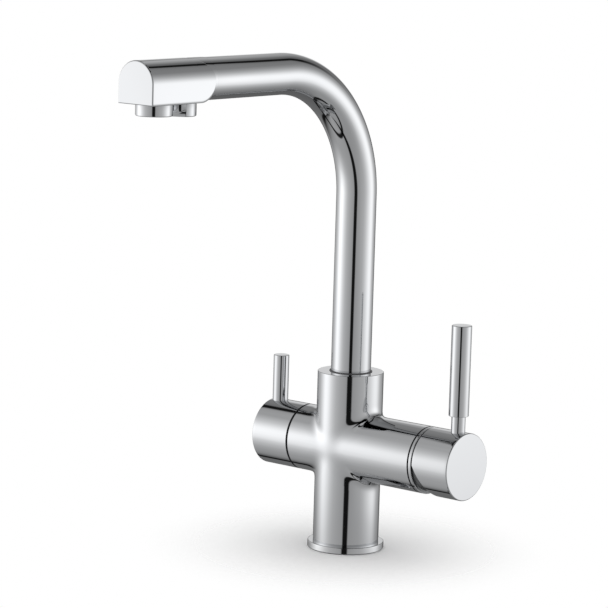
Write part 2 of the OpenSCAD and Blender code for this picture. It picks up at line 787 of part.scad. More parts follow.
// Half of the cover's section, with the distance from the mixer's axis across
module cover_section() {
    spigot_r = nut_d / 2 - thread_fit;
    bore_r = spigot_r - cover_spigot_wall;
    rim_r = bar_d / 2;
    seam_r = rim_r - cover_seam_h;
    edge = rim_chamfer / 2;
    rim_x = mixer_arm + cover_seam;
    dome_end_x = pivot_x + dome_over;
    difference() {
        union() {
            intersection() {
                translate([0, pivot_x])
                    circle(d = dome_d);
                translate([0, mixer_arm])
                    square([dome_d, dome_end_x - mixer_arm]);
            }
            translate([0, mixer_arm])
                square([seam_r, cover_seam + cut]);
            polygon([[0, rim_x], [rim_r - edge, rim_x], [rim_r, rim_x + edge], [rim_r, cover_front_x - edge],
                [rim_r - edge, cover_front_x], [0, cover_front_x]]);
            translate([0, mixer_arm - cover_spigot_l + fit])
                square([spigot_r, cover_spigot_l]);
        }
        translate([-far, mixer_arm - cover_spigot_l])
            square([far + bore_r, cover_spigot_l + cut]);
        intersection() {
            translate([0, pivot_x])
                circle(r = dome_d / 2 - dome_wall);
            translate([-far, mixer_arm + cut / 2])
                square([2 * far, far]);
        }
    }
}

module cover_ring() {
    color(chrome)
        translate([0, 0, bar_axis_z])
            rotate([0, 90, 0])
                rotate_extrude()
                    cover_section();
}

module valve_housing() {
    color(brass)
        to_filter_side()
            difference() {
                union() {
                    rod_x(nose_x, valve_thread_x + cut, nose_d / 2);
                    rod_x(valve_thread_x, hex_x + cut, valve_thread_d / 2);
                    translate([hex_x, 0, bar_axis_z])
                        rotate([0, 90, 0])
                            cylinder(h = hex_t, d = hex_w / cos(30), $fn = 6);
                    rod_x(hex_end_x - cut, valve_end_x, valve_neck_d / 2);
                }
                rod_x(nose_x - cut, valve_fixed_x, filter_duct_d / 2);
                rod_x(valve_fixed_x, driver_end_x + face_gap, disc_bore_d / 2);
                rod_x(driver_end_x, valve_end_x + cut, valve_stem_d / 2 + running_gap);
                for (turn = [0, 90])
                    translate([valve_moving_x, 0, bar_axis_z])
                        rotate([turn, 0, 0])
                            translate([0, -nose_d, -window_w / 2])
                                cube([valve_thread_x - valve_moving_x - fit, 2 * nose_d, window_w]);
            }
}

module valve_seat_seal() {
    color(rubber)
        to_filter_side()
            ring_x(valve_seat_x + fit / 2, nose_x - fit / 2, nose_d / 2, filter_duct_d / 2 + seat_seal_inset);
}

// A disc along X with two openings that face each other
module quarter_disc(x0, x1, r) {
    difference() {
        rod_x(x0, x1, r, 0, 0);
        for (side = [0, 180])
            translate([x0 - cut, 0, 0])
                rotate([side, 0, 0])
                    intersection() {
                        rod_x(0, x1 - x0 + 2 * cut, r - disc_rim, 0, 0);
                        translate([0, disc_land, disc_land])
                            cube([far, r, r]);
                    }
    }
}

module valve_fixed_disc() {
    color(ceramic)
        to_filter_side()
            translate([0, 0, bar_axis_z])
                quarter_disc(valve_fixed_x, valve_fixed_x + valve_disc_t, disc_bore_d / 2 - fit);
}

module valve_moving_disc() {
    color(ceramic)
        to_filter_side()
            translate([0, 0, bar_axis_z])
                rotate([90, 0, 0])
                    quarter_disc(valve_moving_x, valve_moving_x + valve_disc_t, disc_bore_d / 2 - running_gap);
}

module valve_stem() {
    color(brass)
        to_filter_side()
            difference() {
                union() {
                    rod_x(driver_x, driver_end_x, disc_bore_d / 2 - running_gap);
                    rod_x(driver_end_x - cut, stem_end_in_knob_x, valve_stem_d / 2);
                }
                translate([0, 0, bar_axis_z])
                    rotate([0, 90, 0])
                        seal_groove_z(valve_stem_d / 2, stem_seal_d, stem_seal_x);
            }
}

module stem_seal() {
    color(rubber)
        to_filter_side()
            translate([0, 0, bar_axis_z])
                rotate([0, 90, 0])
                    seal_z(valve_stem_d / 2, stem_seal_d, stem_seal_x);
}

// The spout's centreline: up from z0, round the bend and out to the distance y1
module along_spout(z0, y1) {
    rod_length = bend_z - z0;
    translate([0, 0, z0])
        linear_extrude(rod_length)
            children();
    translate([0, -bend_r, bend_z])
        rotate([90, 0, 90])
            rotate_extrude(angle = 90)
                translate([bend_r, 0])
                    children();
    translate([0, -bend_r, arm_z])
        rotate([90, 0, 0])
            linear_extrude(y1 - bend_r)
                children();
}

module spout_tube() {
    color(chrome)
        difference() {
            along_spout(journal_top_z + fit, -block_back_y)
                circle(r = tube_d / 2);
            along_spout(journal_top_z + fit, -block_back_y)
                circle(r = tube_bore_r);
        }
}

module inner_hose() {
    color(white_plastic)
        difference() {
            along_spout(hose_start_z, -hose_end_y)
                circle(d = hose_d);
            along_spout(hose_start_z, -hose_end_y)
                circle(d = hose_d - 2 * hose_wall);
        }
}

module spout_pivot() {
    keeper_half = keeper_d / 2 + keeper_play;
    passage_r = (chamber_d + stalk_d) / 4;
    color(brass)
        difference() {
            union() {
                rod_z(stalk_z, journal_z + cut, stalk_d / 2);
                rod_z(journal_z, journal_top_z, journal_d / 2);
                rod_z(journal_top_z - cut, journal_top_z + tube_grip, tube_bore_r - fit);
                rod_z(column_top_z, hose_start_z + barb_l, barb_d / 2);
            }
            rod_z(stalk_z - cut, hose_start_z + barb_l + cut, barb_bore_d / 2);
            for (z = journal_seal_zs)
                seal_groove_z(journal_d / 2, journal_seal_d, z);
            seal_groove_z(stalk_d / 2, stalk_seal_d, stalk_seal_z);
            ring_z(keeper_z - keeper_half, keeper_z + keeper_half, journal_d, journal_d / 2 - keeper_groove);
            for (i = [0 : passage_n - 1])
                rotate([0, 0, 360 * i / passage_n])
                    rod_z(journal_z - cut, column_top_z + tube_grip, passage_d / 2, passage_r);
        }
}

module pivot_seals() {
    color(rubber) {
        for (z = journal_seal_zs)
            seal_z(journal_d / 2, journal_seal_d, z);
        seal_z(stalk_d / 2, stalk_seal_d, stalk_seal_z);
    }
}

// The arch-shaped section of the outlet block: a half circle over a rectangle
module arch() {
    half = block_w / 2;
    spring = block_rise - half;
    intersection() {
        translate([0, spring])
            circle(r = half);
        translate([-half, spring])
            square([2 * half, half]);
    }
    translate([-half, -block_drop])
        square([2 * half, block_drop + spring]);
}

// The arch along the arm from y0 to y1
module arch_y(y0, y1) {
    translate([0, y1, arm_z])
        rotate([90, 0, 0])
            linear_extrude(y1 - y0)
                arch();
}

module outlet_block() {
    color(chrome)
        difference() {
            union() {
                arch_y(-reach, heel_y);
                rod_y(heel_y - cut, block_back_y, collar_r, 0, arm_z);
                intersection() {
                    arch_y(heel_y - cut, heel_y + block_drop);
                    rod_x(-block_w, block_w, block_drop, heel_y, arm_z);
                }
                rod_z(block_under_z, arm_z, filter_outlet_d / 2, 0, filter_outlet_y);
                rod_y(block_back_y - cut, block_back_y + spigot_l, tube_bore_r - fit, 0, arm_z);
            }
            rod_y(-reach + tip_wall, block_back_y + spigot_l + cut, block_bore_d / 2, 0, arm_z);
            rod_z(block_under_z - cut, outlet_top_z, aerator_thread_d / 2 + thread_fit, 0, aerator_y);
            rod_z(block_under_z - cut, arm_z, aerator_thread_d / 2 - outlet_wall, 0, aerator_y);
            rod_z(block_under_z - cut, elbow_flange_z + fit, filter_thread_d / 2 + thread_fit,
                0, filter_outlet_y);
            rod_z(block_under_z - cut, block_under_z, filter_outlet_d / 2 + fit, 0, filter_outlet_y);
        }
}

module outlet_elbow() {
    color(brass)
        difference() {
            union() {
                rod_z(outlet_top_z, arm_z + hose_d / 2, elbow_d / 2, 0, filter_outlet_y);
                rod_z(outlet_top_z, elbow_flange_z, filter_thread_d / 2, 0, filter_outlet_y);
                rod_y(filter_outlet_y, hose_end_y + barb_l, barb_d / 2, 0, arm_z);
            }
            rod_z(outlet_top_z - cut, arm_z, elbow_d / 2 - outlet_wall, 0, filter_outlet_y);
            rod_y(filter_outlet_y, hose_end_y + barb_l + cut, barb_bore_d / 2, 0, arm_z);
        }
}

// One outlet's sleeve: a head of diameter d below the block and a thread above
module outlet_sleeve(d, drop, thread_d, y) {
    head_z = block_under_z - drop;
    bore_r = thread_d / 2 - outlet_wall;
    difference() {
        union() {
            translate([0, y, 0])
                bevelled_z(head_z, block_under_z, d / 2, rim_chamfer, 0);
            rod_z(block_under_z - cut, block_under_z + outlet_thread_l, thread_d / 2, 0, y);
        }
        rod_z(head_z + lip_t, block_under_z + outlet_thread_l + cut, bore_r, 0, y);
        rod_z(head_z - cut, block_under_z, bore_r - outlet_lip, 0, y);
    }
}

// One outlet's insert: a plug with rings of spray holes
module spray_insert(drop, thread_d, y, rings) {
    insert_r = thread_d / 2 - outlet_wall - fit;
    insert_z = block_under_z - drop + lip_t;
    pitch = (insert_r - outlet_lip - spray_hole_d) / rings;
    difference() {
        rod_z(insert_z, insert_z + insert_t, insert_r, 0, y);
        rod_z(insert_z - cut, insert_z + insert_t + cut, spray_hole_d / 2, 0, y);
        for (k = [1 : rings])
            for (i = [0 : 6 * k - 1])
                translate([0, y, insert_z - cut])
                    rotate([0, 0, 60 * i / k])
                        translate([k * pitch, 0, 0])
                            cylinder(h = insert_t + 2 * cut, d = spray_hole_d);
    }
}

module aerator_housing() {
    color(chrome)
        outlet_sleeve(aerator_d, aerator_drop, aerator_thread_d, aerator_y);
}

module aerator_insert() {
    color(grey_plastic)
        spray_insert(aerator_drop, aerator_thread_d, aerator_y, 2);
}

module filter_outlet() {
    head_z = block_under_z - filter_outlet_drop;
    color(chrome)
        difference() {
            outlet_sleeve(filter_outlet_d, filter_outlet_drop, filter_thread_d, filter_outlet_y);
            translate([0, filter_outlet_y, head_z - cut])
                rotate([0, 0, flats_turn])
                    for (side = [-1, 1])
                        translate([-far / 2, side > 0 ? flats_w / 2 : -flats_w / 2 - far, 0])
                            cube([far, far, flats_h + cut]);
        }
}

module filter_insert() {
    color(grey_plastic)
        spray_insert(filter_outlet_drop, filter_thread_d, filter_outlet_y, 1);
}

module outlet_seal(thread_d, y) {
    z0 = block_under_z + outlet_thread_l + fit;
    color(rubber)
        ring_z(z0, z0 + outlet_seal_t, thread_d / 2 - fit, thread_d / 2 - outlet_wall + fit, 0, y);
}

module aerator_seal() {
    outlet_seal(aerator_thread_d, aerator_y);
}

module filter_outlet_seal() {
    outlet_seal(filter_thread_d, filter_outlet_y);
}

module cartridge_rotor() {
    slot_half = stem_w / 2 + ball_play;
    color(white_plastic)
        difference() {
            union() {
                rod_x(rotor_x, rotor_x + rotor_flange_t, cartridge_d / 2 - housing_wall - face_gap);
                rod_x(rotor_x, housing_end_x + rotor_over, neck_bore_r - cartridge_gap);
                for (side = [-1, 1])
                    translate([lug_x, side * (carrier_half + ball_play + lug_t / 2) - lug_t / 2,
                        bar_axis_z - lug_w / 2])
                        cube([rotor_x + cut - lug_x, lug_t, lug_w]);
            }
            translate([rotor_x - cut, -slot_half, bar_axis_z - slot_down])
                cube([far, 2 * slot_half, slot_down + slot_up]);
            rod_y(-far, far, pivot_pin_d / 2 + fit / 2, pivot_x, bar_axis_z);
        }
}

module pivot_pin() {
    half = neck_bore_r - cartridge_gap - face_gap;
    color(steel)
        rod_y(-half, half, pivot_pin_d / 2, pivot_x, bar_axis_z);
}

module moving_disc() {
    x1 = moving_disc_x + moving_disc_t;
    color(ceramic)
        difference() {
            rod_x(moving_disc_x, x1, moving_disc_d / 2);
            intersection() {
                rod_x(moving_disc_x - cut, moving_disc_x + pocket_h, moving_disc_d / 2 - pocket_rim);
                translate([moving_disc_x - far / 2, -far / 2, bar_axis_z - far])
                    cube([far, far, far + inlet_port_rise - inlet_duct_d / 2 - port_land]);
            }
        }
}

module disc_carrier() {
    color(grey_plastic)
        difference() {
            intersection() {
                rod_x(carrier_x, carrier_x + carrier_t, moving_disc_d / 2);
                translate([0, -carrier_half, 0])
                    cube([far, 2 * carrier_half, far]);
            }
            rod_x(carrier_x - cut, carrier_x + carrier_t + cut, ball_d / 2 + ball_play);
        }
}

module mixer_stem() {
    color(steel)
        difference() {
            union() {
                translate([ball_x, 0, bar_axis_z])
                    sphere(d = ball_d);
                rod_x(ball_x, pivot_x - stem_w / 2 + cut, stem_neck_d / 2);
                translate([pivot_x - stem_w / 2, -stem_w / 2, bar_axis_z - stem_w / 2])
                    cube([stem_end_x - pivot_x + stem_w / 2, stem_w, stem_w]);
            }
            rod_y(-far, far, pivot_pin_d / 2 + running_gap, pivot_x, bar_axis_z);
        }
}

// The space that the arm and the cover ring fill, as the lifted hub sees it
module lift_clearance() {
    translate([pivot_x, 0, bar_axis_z])
        rotate([0, -(lift_max + lift_spare), 0])
            translate([-far, -far / 2, -far])
                cube([far + cover_front_x - pivot_x + hub_clear, far, far]);
}

// The pocket and the threaded hole for a lever of diameter d
module lever_socket(x, d) {
    rod_z(lever_pocket_z, bar_axis_z + bar_d, d / 2 + fit, x);
    rod_z(lever_pocket_z - lever_stud_l - fit, lever_pocket_z + cut, lever_stud_d / 2 + thread_fit, x);
}

// The threaded hole for a grub screw and the pocket for its plug
module grub_hole(x) {
    rod_z(bar_axis_z - bar_d, bar_axis_z, grub_d / 2 + thread_fit, x);
    rod_z(bar_axis_z - bar_d, plug_z + plug_t, plug_d / 2 + fit, x);
}

module mixer_hub() {
    hole_half = stem_w / 2 + fit;
    color(chrome)
        difference() {
            union() {
                difference() {
                    bevelled_x(hub_x, hub_end_x, bar_d / 2, rim_chamfer / 2, rim_chamfer);
                    rod_x(hub_x - cut, hub_floor_x, hub_bore_r);
                }
                rod_x(hub_boss_x, hub_floor_x + cut, hub_boss_d / 2);
            }
            lift_clearance();
            translate([hub_boss_x - cut, -hole_half, bar_axis_z - hole_half])
                cube([stem_end_x + fit - hub_boss_x + cut, 2 * hole_half, 2 * hole_half]);
            lever_socket(lever_x, lever_rod_d);
            grub_hole(hub_grub_at);
        }
}

module lever_rod() {
    color(chrome)
        union() {
            rod_z(lever_pocket_z - lever_stud_l, lever_pocket_z + cut, lever_stud_d / 2, lever_x);
            rod_z(lever_pocket_z, bar_axis_z + lever_rise - sleeve_cap, lever_rod_d / 2, lever_x);
        }
}

module lever_sleeve() {
    sleeve_z = bar_axis_z + sleeve_rise;
    top_z = bar_axis_z + lever_rise;
    color(chrome)
        difference() {
            translate([lever_x, 0, 0])
                bevelled_z(sleeve_z, top_z, sleeve_d / 2, rim_chamfer / 2, rim_chamfer);
            rod_z(sleeve_z - cut, top_z - sleeve_cap + fit, lever_rod_d / 2 + fit, lever_x);
        }
}

module hub_grub() {
    color(steel)
        grub_z(bar_axis_z - stem_w / 2 - fit, grub_l, grub_d, hub_grub_at);
}

module hub_plug() {
    color(grey_plastic)
        rod_z(plug_z, plug_z + plug_t, plug_d / 2, hub_grub_at);
}

module filter_knob() {
    color(chrome)
        difference() {
            to_filter_side()
                difference() {
                    bevelled_x(knob_x, knob_end_x, bar_d / 2, rim_chamfer / 2, rim_chamfer);
                    rod_x(knob_x - cut, knob_floor_x, bar_d / 2 - knob_wall);
                    rod_x(knob_floor_x - cut, stem_end_in_knob_x + fit, valve_stem_d / 2 + fit);
                }
            lever_socket(-pin_x, pin_d);
            grub_hole(-knob_grub_at);
        }
}

module filter_pin() {
    color(chrome)
        union() {
            rod_z(lever_pocket_z - lever_stud_l, lever_pocket_z + cut, lever_stud_d / 2, -pin_x);
            translate([-pin_x, 0, 0])
                bevelled_z(lever_pocket_z, bar_axis_z + pin_rise, pin_d / 2, 0, rim_chamfer);
        }
}

module knob_grub() {
    color(steel)
        grub_z(bar_axis_z - valve_stem_d / 2 - fit, grub_l, grub_d, -knob_grub_at);
}

module knob_plug() {
    color(grey_plastic)
        rod_z(plug_z, plug_z + plug_t, plug_d / 2, -knob_grub_at);
}

base_gasket();
base_flange();
tap_body();
spout_keeper();
glide_ring();
thrust_washer();
cartridge_seals();
cartridge_base();
cartridge_housing();
fixed_disc();
cartridge_nut();
cover_ring();
valve_housing();
valve_seat_seal();
valve_fixed_disc();
spout_tube();
outlet_block();
spout_pivot();
pivot_seals();
inner_hose();
outlet_elbow();
aerator_housing();
aerator_insert();
aerator_seal();
filter_outlet();
filter_insert();
filter_outlet_seal();
cartridge_rotor();
pivot_pin();
moving_disc();
disc_carrier();
mixer_stem();
mixer_hub();
lever_rod();
lever_sleeve();
hub_grub();
hub_plug();
valve_stem();
stem_seal();
valve_moving_disc();
filter_knob();
filter_pin();
knob_grub();
knob_plug();
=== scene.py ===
# Three-way kitchen tap in polished chrome, on a pale floor in a light tent.
# Metres, +Z up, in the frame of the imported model: the crossbar lies along X and the
# spout points to -Y. The casting, flange, spout, cover ring and handles are rebuilt here
# as dense smooth skins with rounded rims. All other pieces, such as the two outlets, the
# plugs and what is inside, keep their solids and get a finish of their own.

import json
import math

import bmesh
import bpy
import numpy as np
from mathutils import Matrix, Vector
from mathutils.geometry import tessellate_polygon


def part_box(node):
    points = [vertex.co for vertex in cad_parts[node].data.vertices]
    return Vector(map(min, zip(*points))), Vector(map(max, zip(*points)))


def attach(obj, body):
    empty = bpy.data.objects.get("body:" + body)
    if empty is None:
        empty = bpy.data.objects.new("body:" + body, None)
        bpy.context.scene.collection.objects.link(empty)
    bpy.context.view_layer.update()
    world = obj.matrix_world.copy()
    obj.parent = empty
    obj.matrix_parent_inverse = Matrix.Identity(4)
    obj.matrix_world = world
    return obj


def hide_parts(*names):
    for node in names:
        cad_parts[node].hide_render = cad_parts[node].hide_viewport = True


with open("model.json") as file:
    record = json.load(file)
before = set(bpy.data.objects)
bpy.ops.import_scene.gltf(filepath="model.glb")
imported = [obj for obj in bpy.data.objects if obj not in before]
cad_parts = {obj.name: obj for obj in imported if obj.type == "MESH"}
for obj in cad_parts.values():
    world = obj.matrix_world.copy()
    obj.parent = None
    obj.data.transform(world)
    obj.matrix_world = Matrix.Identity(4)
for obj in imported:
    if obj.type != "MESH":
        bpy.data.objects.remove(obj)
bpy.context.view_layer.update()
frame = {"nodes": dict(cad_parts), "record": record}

MM = 0.001


# Places taken from the frame

def low(node):
    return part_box(node)[0]


def high(node):
    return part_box(node)[1]


bar_z = (low("cartridge_base").z + high("cartridge_base").z) / 2
bar_r = high("mixer_hub").y
bar_right_x = high("tap_body").x
bar_left_x = low("tap_body").x
column_top_z = high("tap_body").z
foot_z = low("tap_body").z
flange_z = low("base_flange").z
column_z = high("base_flange").z
flange_r = high("base_flange").x
tube_r = high("spout_tube").x
arm_z = high("spout_tube").z - tube_r
tube_z = low("spout_tube").z
block_back_y = low("spout_tube").y
tip_y = low("outlet_block").y
pivot_x = (low("pivot_pin").x + high("pivot_pin").x) / 2

# Real sizes that a box doesn't give
column_r = 23.15 * MM
bend_r = 87.6 * MM
tube_wall = 1.2 * MM
foot_r = 19 * MM
plug_r = 3.05 * MM
plug_hole_depth = 2 * MM
keeper_hole_r = 2.55 * MM
keeper_hole_depth = 6 * MM

# Rounding of the edges
rim = 0.45 * MM
knob_rim = 0.65 * MM
face_rim = 0.8 * MM
small_rim = 0.2 * MM

# How far the surfaces of column and crossbar run into each other: where they meet at a
# right angle, and where they are tangent
blend_width = 9 * MM
blend_least = 2.5 * MM

# Points round a large skin, a socket in the foot, a rod or pin, and the lever's sleeve
around = 192
socket_around = 64
rod_around = 96
sleeve_around = 128

# Where holes come in a large skin, counted in points round it
bottom_column = around * 3 // 4
rear_column = around // 2

# Noise stays between these values nearly everywhere
NOISE_LOW = 0.3
NOISE_HIGH = 0.7


# Finishes

def noise(tree, scale, detail=3.0, roughness=0.5, stretch=None):
    """Noise over the object's own coordinates, with the scale in cells per metre."""
    place = tree.nodes.new("ShaderNodeTexCoord")
    texture = tree.nodes.new("ShaderNodeTexNoise")
    texture.inputs["Scale"].default_value = scale
    texture.inputs["Detail"].default_value = detail
    texture.inputs["Roughness"].default_value = roughness
    source = place.outputs["Object"]
    if stretch:
        mapping = tree.nodes.new("ShaderNodeMapping")
        mapping.inputs["Scale"].default_value = stretch
        tree.links.new(source, mapping.inputs["Vector"])
        source = mapping.outputs["Vector"]
    tree.links.new(source, texture.inputs["Vector"])
    return texture.outputs["Fac"]


def spread(tree, value, least, most):
    """Maps a noise value to the range from least to most."""
    node = tree.nodes.new("ShaderNodeMapRange")
    node.inputs["From Min"].default_value = NOISE_LOW
    node.inputs["From Max"].default_value = NOISE_HIGH
    node.inputs["To Min"].default_value = least
    node.inputs["To Max"].default_value = most
    tree.links.new(value, node.inputs["Value"])
    return node.outputs["Result"]


def bump(tree, shader, value, strength, distance):
    """Lets a noise value move the surface's shading."""
    node = tree.nodes.new("ShaderNodeBump")
    node.inputs["Strength"].default_value = strength
    node.inputs["Distance"].default_value = distance
    tree.links.new(value, node.inputs["Height"])
    tree.links.new(node.outputs["Normal"], shader.inputs["Normal"])


def tint(tree, shader, value, dark, light):
    """Varies the colour between two shades with a noise value."""
    node = tree.nodes.new("ShaderNodeValToRGB")
    shades = node.color_ramp.elements
    shades[0].position = NOISE_LOW
    shades[0].color = (*dark, 1)
    shades[1].position = NOISE_HIGH
    shades[1].color = (*light, 1)
    tree.links.new(value, node.inputs["Fac"])
    tree.links.new(node.outputs["Color"], shader.inputs["Base Color"])


def new_material(name, metallic):
    """A material with its node tree and its surface shader."""
    material = bpy.data.materials.new(name)
    material.use_nodes = True
    tree = material.node_tree
    shader = tree.nodes["Principled BSDF"]
    shader.inputs["Metallic"].default_value = metallic
    return material, tree, shader


def chrome(name):
    """Polished plate: a mirror with a faint bluish cast and the slow waves of hand polishing."""
    material, tree, shader = new_material(name, 1.0)
    tint(tree, shader, noise(tree, 9.0), (0.585, 0.595, 0.61), (0.605, 0.612, 0.622))
    tree.links.new(spread(tree, noise(tree, 140.0, 4.0), 0.025, 0.05), shader.inputs["Roughness"])
    bump(tree, shader, noise(tree, 45.0, 1.0), 0.1, 0.25 * MM)
    return material


def turned_metal(name, dark, light, least, most):
    """Machined metal with fine tool marks."""
    material, tree, shader = new_material(name, 1.0)
    tint(tree, shader, noise(tree, 60.0), dark, light)
    marks = noise(tree, 900.0, 2.0, 0.6, (1, 1, 6))
    tree.links.new(spread(tree, marks, least, most), shader.inputs["Roughness"])
    bump(tree, shader, marks, 0.15, 0.02 * MM)
    return material


def moulded(name, dark, light, roughness=(0.4, 0.55), grain=700.0, strength=0.15):
    """Moulded plastic, rubber or ceramic with a fine grain."""
    material, tree, shader = new_material(name, 0.0)
    tint(tree, shader, noise(tree, 80.0), dark, light)
    texture = noise(tree, grain, 4.0)
    tree.links.new(spread(tree, texture, *roughness), shader.inputs["Roughness"])
    bump(tree, shader, texture, strength, 0.03 * MM)
    return material


FINISHES = {
    "polished_chrome": chrome("polished chrome"),
    "bare_brass": turned_metal("bare brass", (0.62, 0.44, 0.17), (0.70, 0.52, 0.22), 0.22, 0.38),
    "bare_steel": turned_metal("bare steel", (0.42, 0.43, 0.45), (0.52, 0.53, 0.55), 0.2, 0.35),
    "black_rubber": moulded("black rubber", (0.018, 0.018, 0.02), (0.03, 0.03, 0.032), (0.6, 0.8)),
    "white_ceramic": moulded("white ceramic", (0.80, 0.78, 0.72), (0.86, 0.84, 0.79), (0.12, 0.22),
                             400.0, 0.05),
    "white_plastic": moulded("white plastic", (0.76, 0.76, 0.73), (0.82, 0.82, 0.79)),
    "grey_plastic": moulded("grey plastic", (0.13, 0.14, 0.16), (0.17, 0.18, 0.20)),
    "dark_plastic": moulded("dark plastic", (0.07, 0.07, 0.075), (0.10, 0.10, 0.105)),
}
CHROME = FINISHES["polished_chrome"]
# Painted shade: a near-black dull metal on the faces of bores, mouths and the narrow gaps between parts,
# where shade falls
JOINT_SHADE = turned_metal("painted shade in a joint", (0.05, 0.05, 0.052), (0.075, 0.075, 0.078), 0.4, 0.55)
# Painted shade: a dark grey dull metal on the cover ring's dome, deep in the hub's notch
DOME_SHADE = turned_metal("painted shade on the dome", (0.20, 0.205, 0.21), (0.25, 0.255, 0.26), 0.32, 0.45)

# Kinds of faces on a rebuilt piece: each becomes an object whose name has this ending. Faces in joints and on
# the cover ring's dome get painted shade.
PLAIN = ""
SHADED_JOINT = "_shaded_recess"
SHADED_DOME = "_shaded_dome"
KINDS = {PLAIN: CHROME, SHADED_JOINT: JOINT_SHADE, SHADED_DOME: DOME_SHADE}

for sub_part in frame["record"]["subparts"]:
    cad_mesh = frame["nodes"][sub_part["node"]].data
    cad_mesh.materials.clear()
    cad_mesh.materials.append(FINISHES[sub_part["material_slot"]])


# Meshes

# A drilled skin: degrees beside the hole that its square rows cover, degrees that they take
# to spread out, and the width of the hole's broken edge
square_degrees = 14
spread_degrees = 20
hole_edge = 0.12 * MM

# Closer points are one point, and shorter edges are none
same_point = 0.002 * MM
no_edge = 0.001 * MM


class Skin:
    """A closed skin: points and faces are collected, then each kind of face becomes an object."""

    def __init__(self):
        self.points = []
        self.faces = []
        self.kinds = []

    def add(self, face, kind=PLAIN):
        self.faces.append(face)
        self.kinds.append(kind)

    def grid(self, rows, kind=PLAIN):
        """Adds the faces between rings of points, one ring after the other."""
        rows = [np.asarray(row, float) for row in rows]
        start = len(self.points)
        count = len(rows[0])
        for row in rows:
            self.points.extend(row)
        for i in range(len(rows) - 1):
            for j in range(count):
                a = start + i * count + j
                b = start + i * count + (j + 1) % count
                self.add((a, b, b + count, a + count), kind)

    def fan(self, row, centre, kind=PLAIN):
        """Closes a ring of points with triangles to its centre."""
        start = len(self.points)
        self.points.extend(np.asarray(row, float))
        self.points.append(np.asarray(centre, float))
        count = len(row)
        for j in range(count):
            self.add((start + j, start + (j + 1) % count, start + count), kind)

    def cap(self, row):
        """Closes a flat ring of points with one face."""
        start = len(self.points)
        self.points.extend(np.asarray(row, float))
        self.add(tuple(range(start, start + len(row))))

    def drilled(self, place, r, start, end, column, middle, hole_r, depth, half=6):
        """A cylinder's skin from start to end, with one blind round hole square to its axis.

        The hole is at the given column of points and at the height called middle. It takes the
        place of a square of 2 * half points a side; away from it the rows spread out evenly.
        """
        turn = angles()
        pitch = 2 * math.pi * r / around
        apart = np.abs((np.arange(around) - column + around // 2) % around - around // 2) * 360 / around
        far = np.clip((apart - square_degrees) / spread_degrees, 0, 1)
        far = far ** 2 * (3 - 2 * far)
        heights = [start + 0 * turn]
        for i in range(2 * half + 1):
            even = start + (end - start) * (i + 1) / (2 * half + 2)
            heights.append((middle + pitch * (i - half)) * (1 - far) + even * far)
        heights.append(end + 0 * turn)
        rows = [np.stack(place(r, height, turn), 1) for height in heights]
        first = len(self.points)
        for row in rows:
            self.points.extend(row)
        for i in range(len(rows) - 1):
            for j in range(around):
                if 1 <= i <= 2 * half and (j - column + half) % around < 2 * half:
                    continue
                a = first + i * around + j
                b = first + i * around + (j + 1) % around
                self.add((a, b, b + around, a + around))
        run = range(-half, half)
        border = [(k, -half) for k in run] + [(half, k) for k in run]
        border += [(-k, half) for k in run] + [(-half, -k) for k in run]
        border = np.array(border, float)
        circle = border / np.hypot(*border.T)[:, None]
        middle_angle = turn[column]
        outwards = np.array(place(1.0, 0.0, middle_angle)) - np.array(place(0.0, 0.0, middle_angle))
        rings = []
        for t in (0, 0.4, 0.7, 0.9, 1):
            offset = border * pitch * (1 - t) + circle * (hole_r + hole_edge) * t
            rings.append(np.stack(place(r, middle + offset[:, 1], middle_angle + offset[:, 0] / r), 1))
        wall = np.stack(place(r, middle + circle[:, 1] * hole_r, middle_angle + circle[:, 0] * hole_r / r), 1)
        axis_point = np.array(place(0.0, middle, middle_angle))
        rings.append(wall - outwards * hole_edge)
        level = (wall - axis_point) @ outwards
        bottom = wall - np.outer(level - (r - depth), outwards)
        rings.append(bottom)
        self.grid(rings)
        self.fan(bottom, axis_point + outwards * (r - depth))

    def object(self, name, body, node):
        """Makes an object of each kind of face in place of the node, and returns the plain one."""
        whole = bpy.data.meshes.new(name)
        whole.from_pydata([tuple(point) for point in self.points], [], self.faces)
        order = list(KINDS)
        whole.polygons.foreach_set("material_index", [order.index(kind) for kind in self.kinds])
        made = tidy(whole)
        pieces = []
        for index, (kind, finish) in enumerate(KINDS.items()):
            if kind not in self.kinds:
                continue
            part = made.copy()
            others = [face for face in part.faces if face.material_index != index]
            bmesh.ops.delete(part, geom=others, context="FACES")
            for face in part.faces:
                face.material_index = 0
            mesh = bpy.data.meshes.new(name + kind)
            part.to_mesh(mesh)
            part.free()
            mesh.materials.append(finish)
            piece = bpy.data.objects.new(name + kind, mesh)
            bpy.context.scene.collection.objects.link(piece)
            even_shading(piece)
            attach(piece, body)
            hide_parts(node)
            pieces.append(piece)
        made.free()
        bpy.data.meshes.remove(whole)
        return pieces[0]


def tidy(mesh):
    """The mesh with coinciding points joined, loose ones dropped and all faces turned outwards."""
    made = bmesh.new()
    made.from_mesh(mesh)
    bmesh.ops.remove_doubles(made, verts=made.verts, dist=same_point)
    bmesh.ops.dissolve_degenerate(made, edges=made.edges, dist=no_edge)
    loose = [vertex for vertex in made.verts if not vertex.link_faces]
    bmesh.ops.delete(made, geom=loose, context="VERTS")
    bmesh.ops.recalc_face_normals(made, faces=made.faces)
    return made


def even_shading(piece):
    """Smooth shading that follows the large faces, so that flat ones look flat."""
    piece.data.shade_smooth()
    weighted = piece.modifiers.new("face weights", "WEIGHTED_NORMAL")
    weighted.mode = "FACE_AREA_WITH_ANGLE"
    weighted.weight = 80


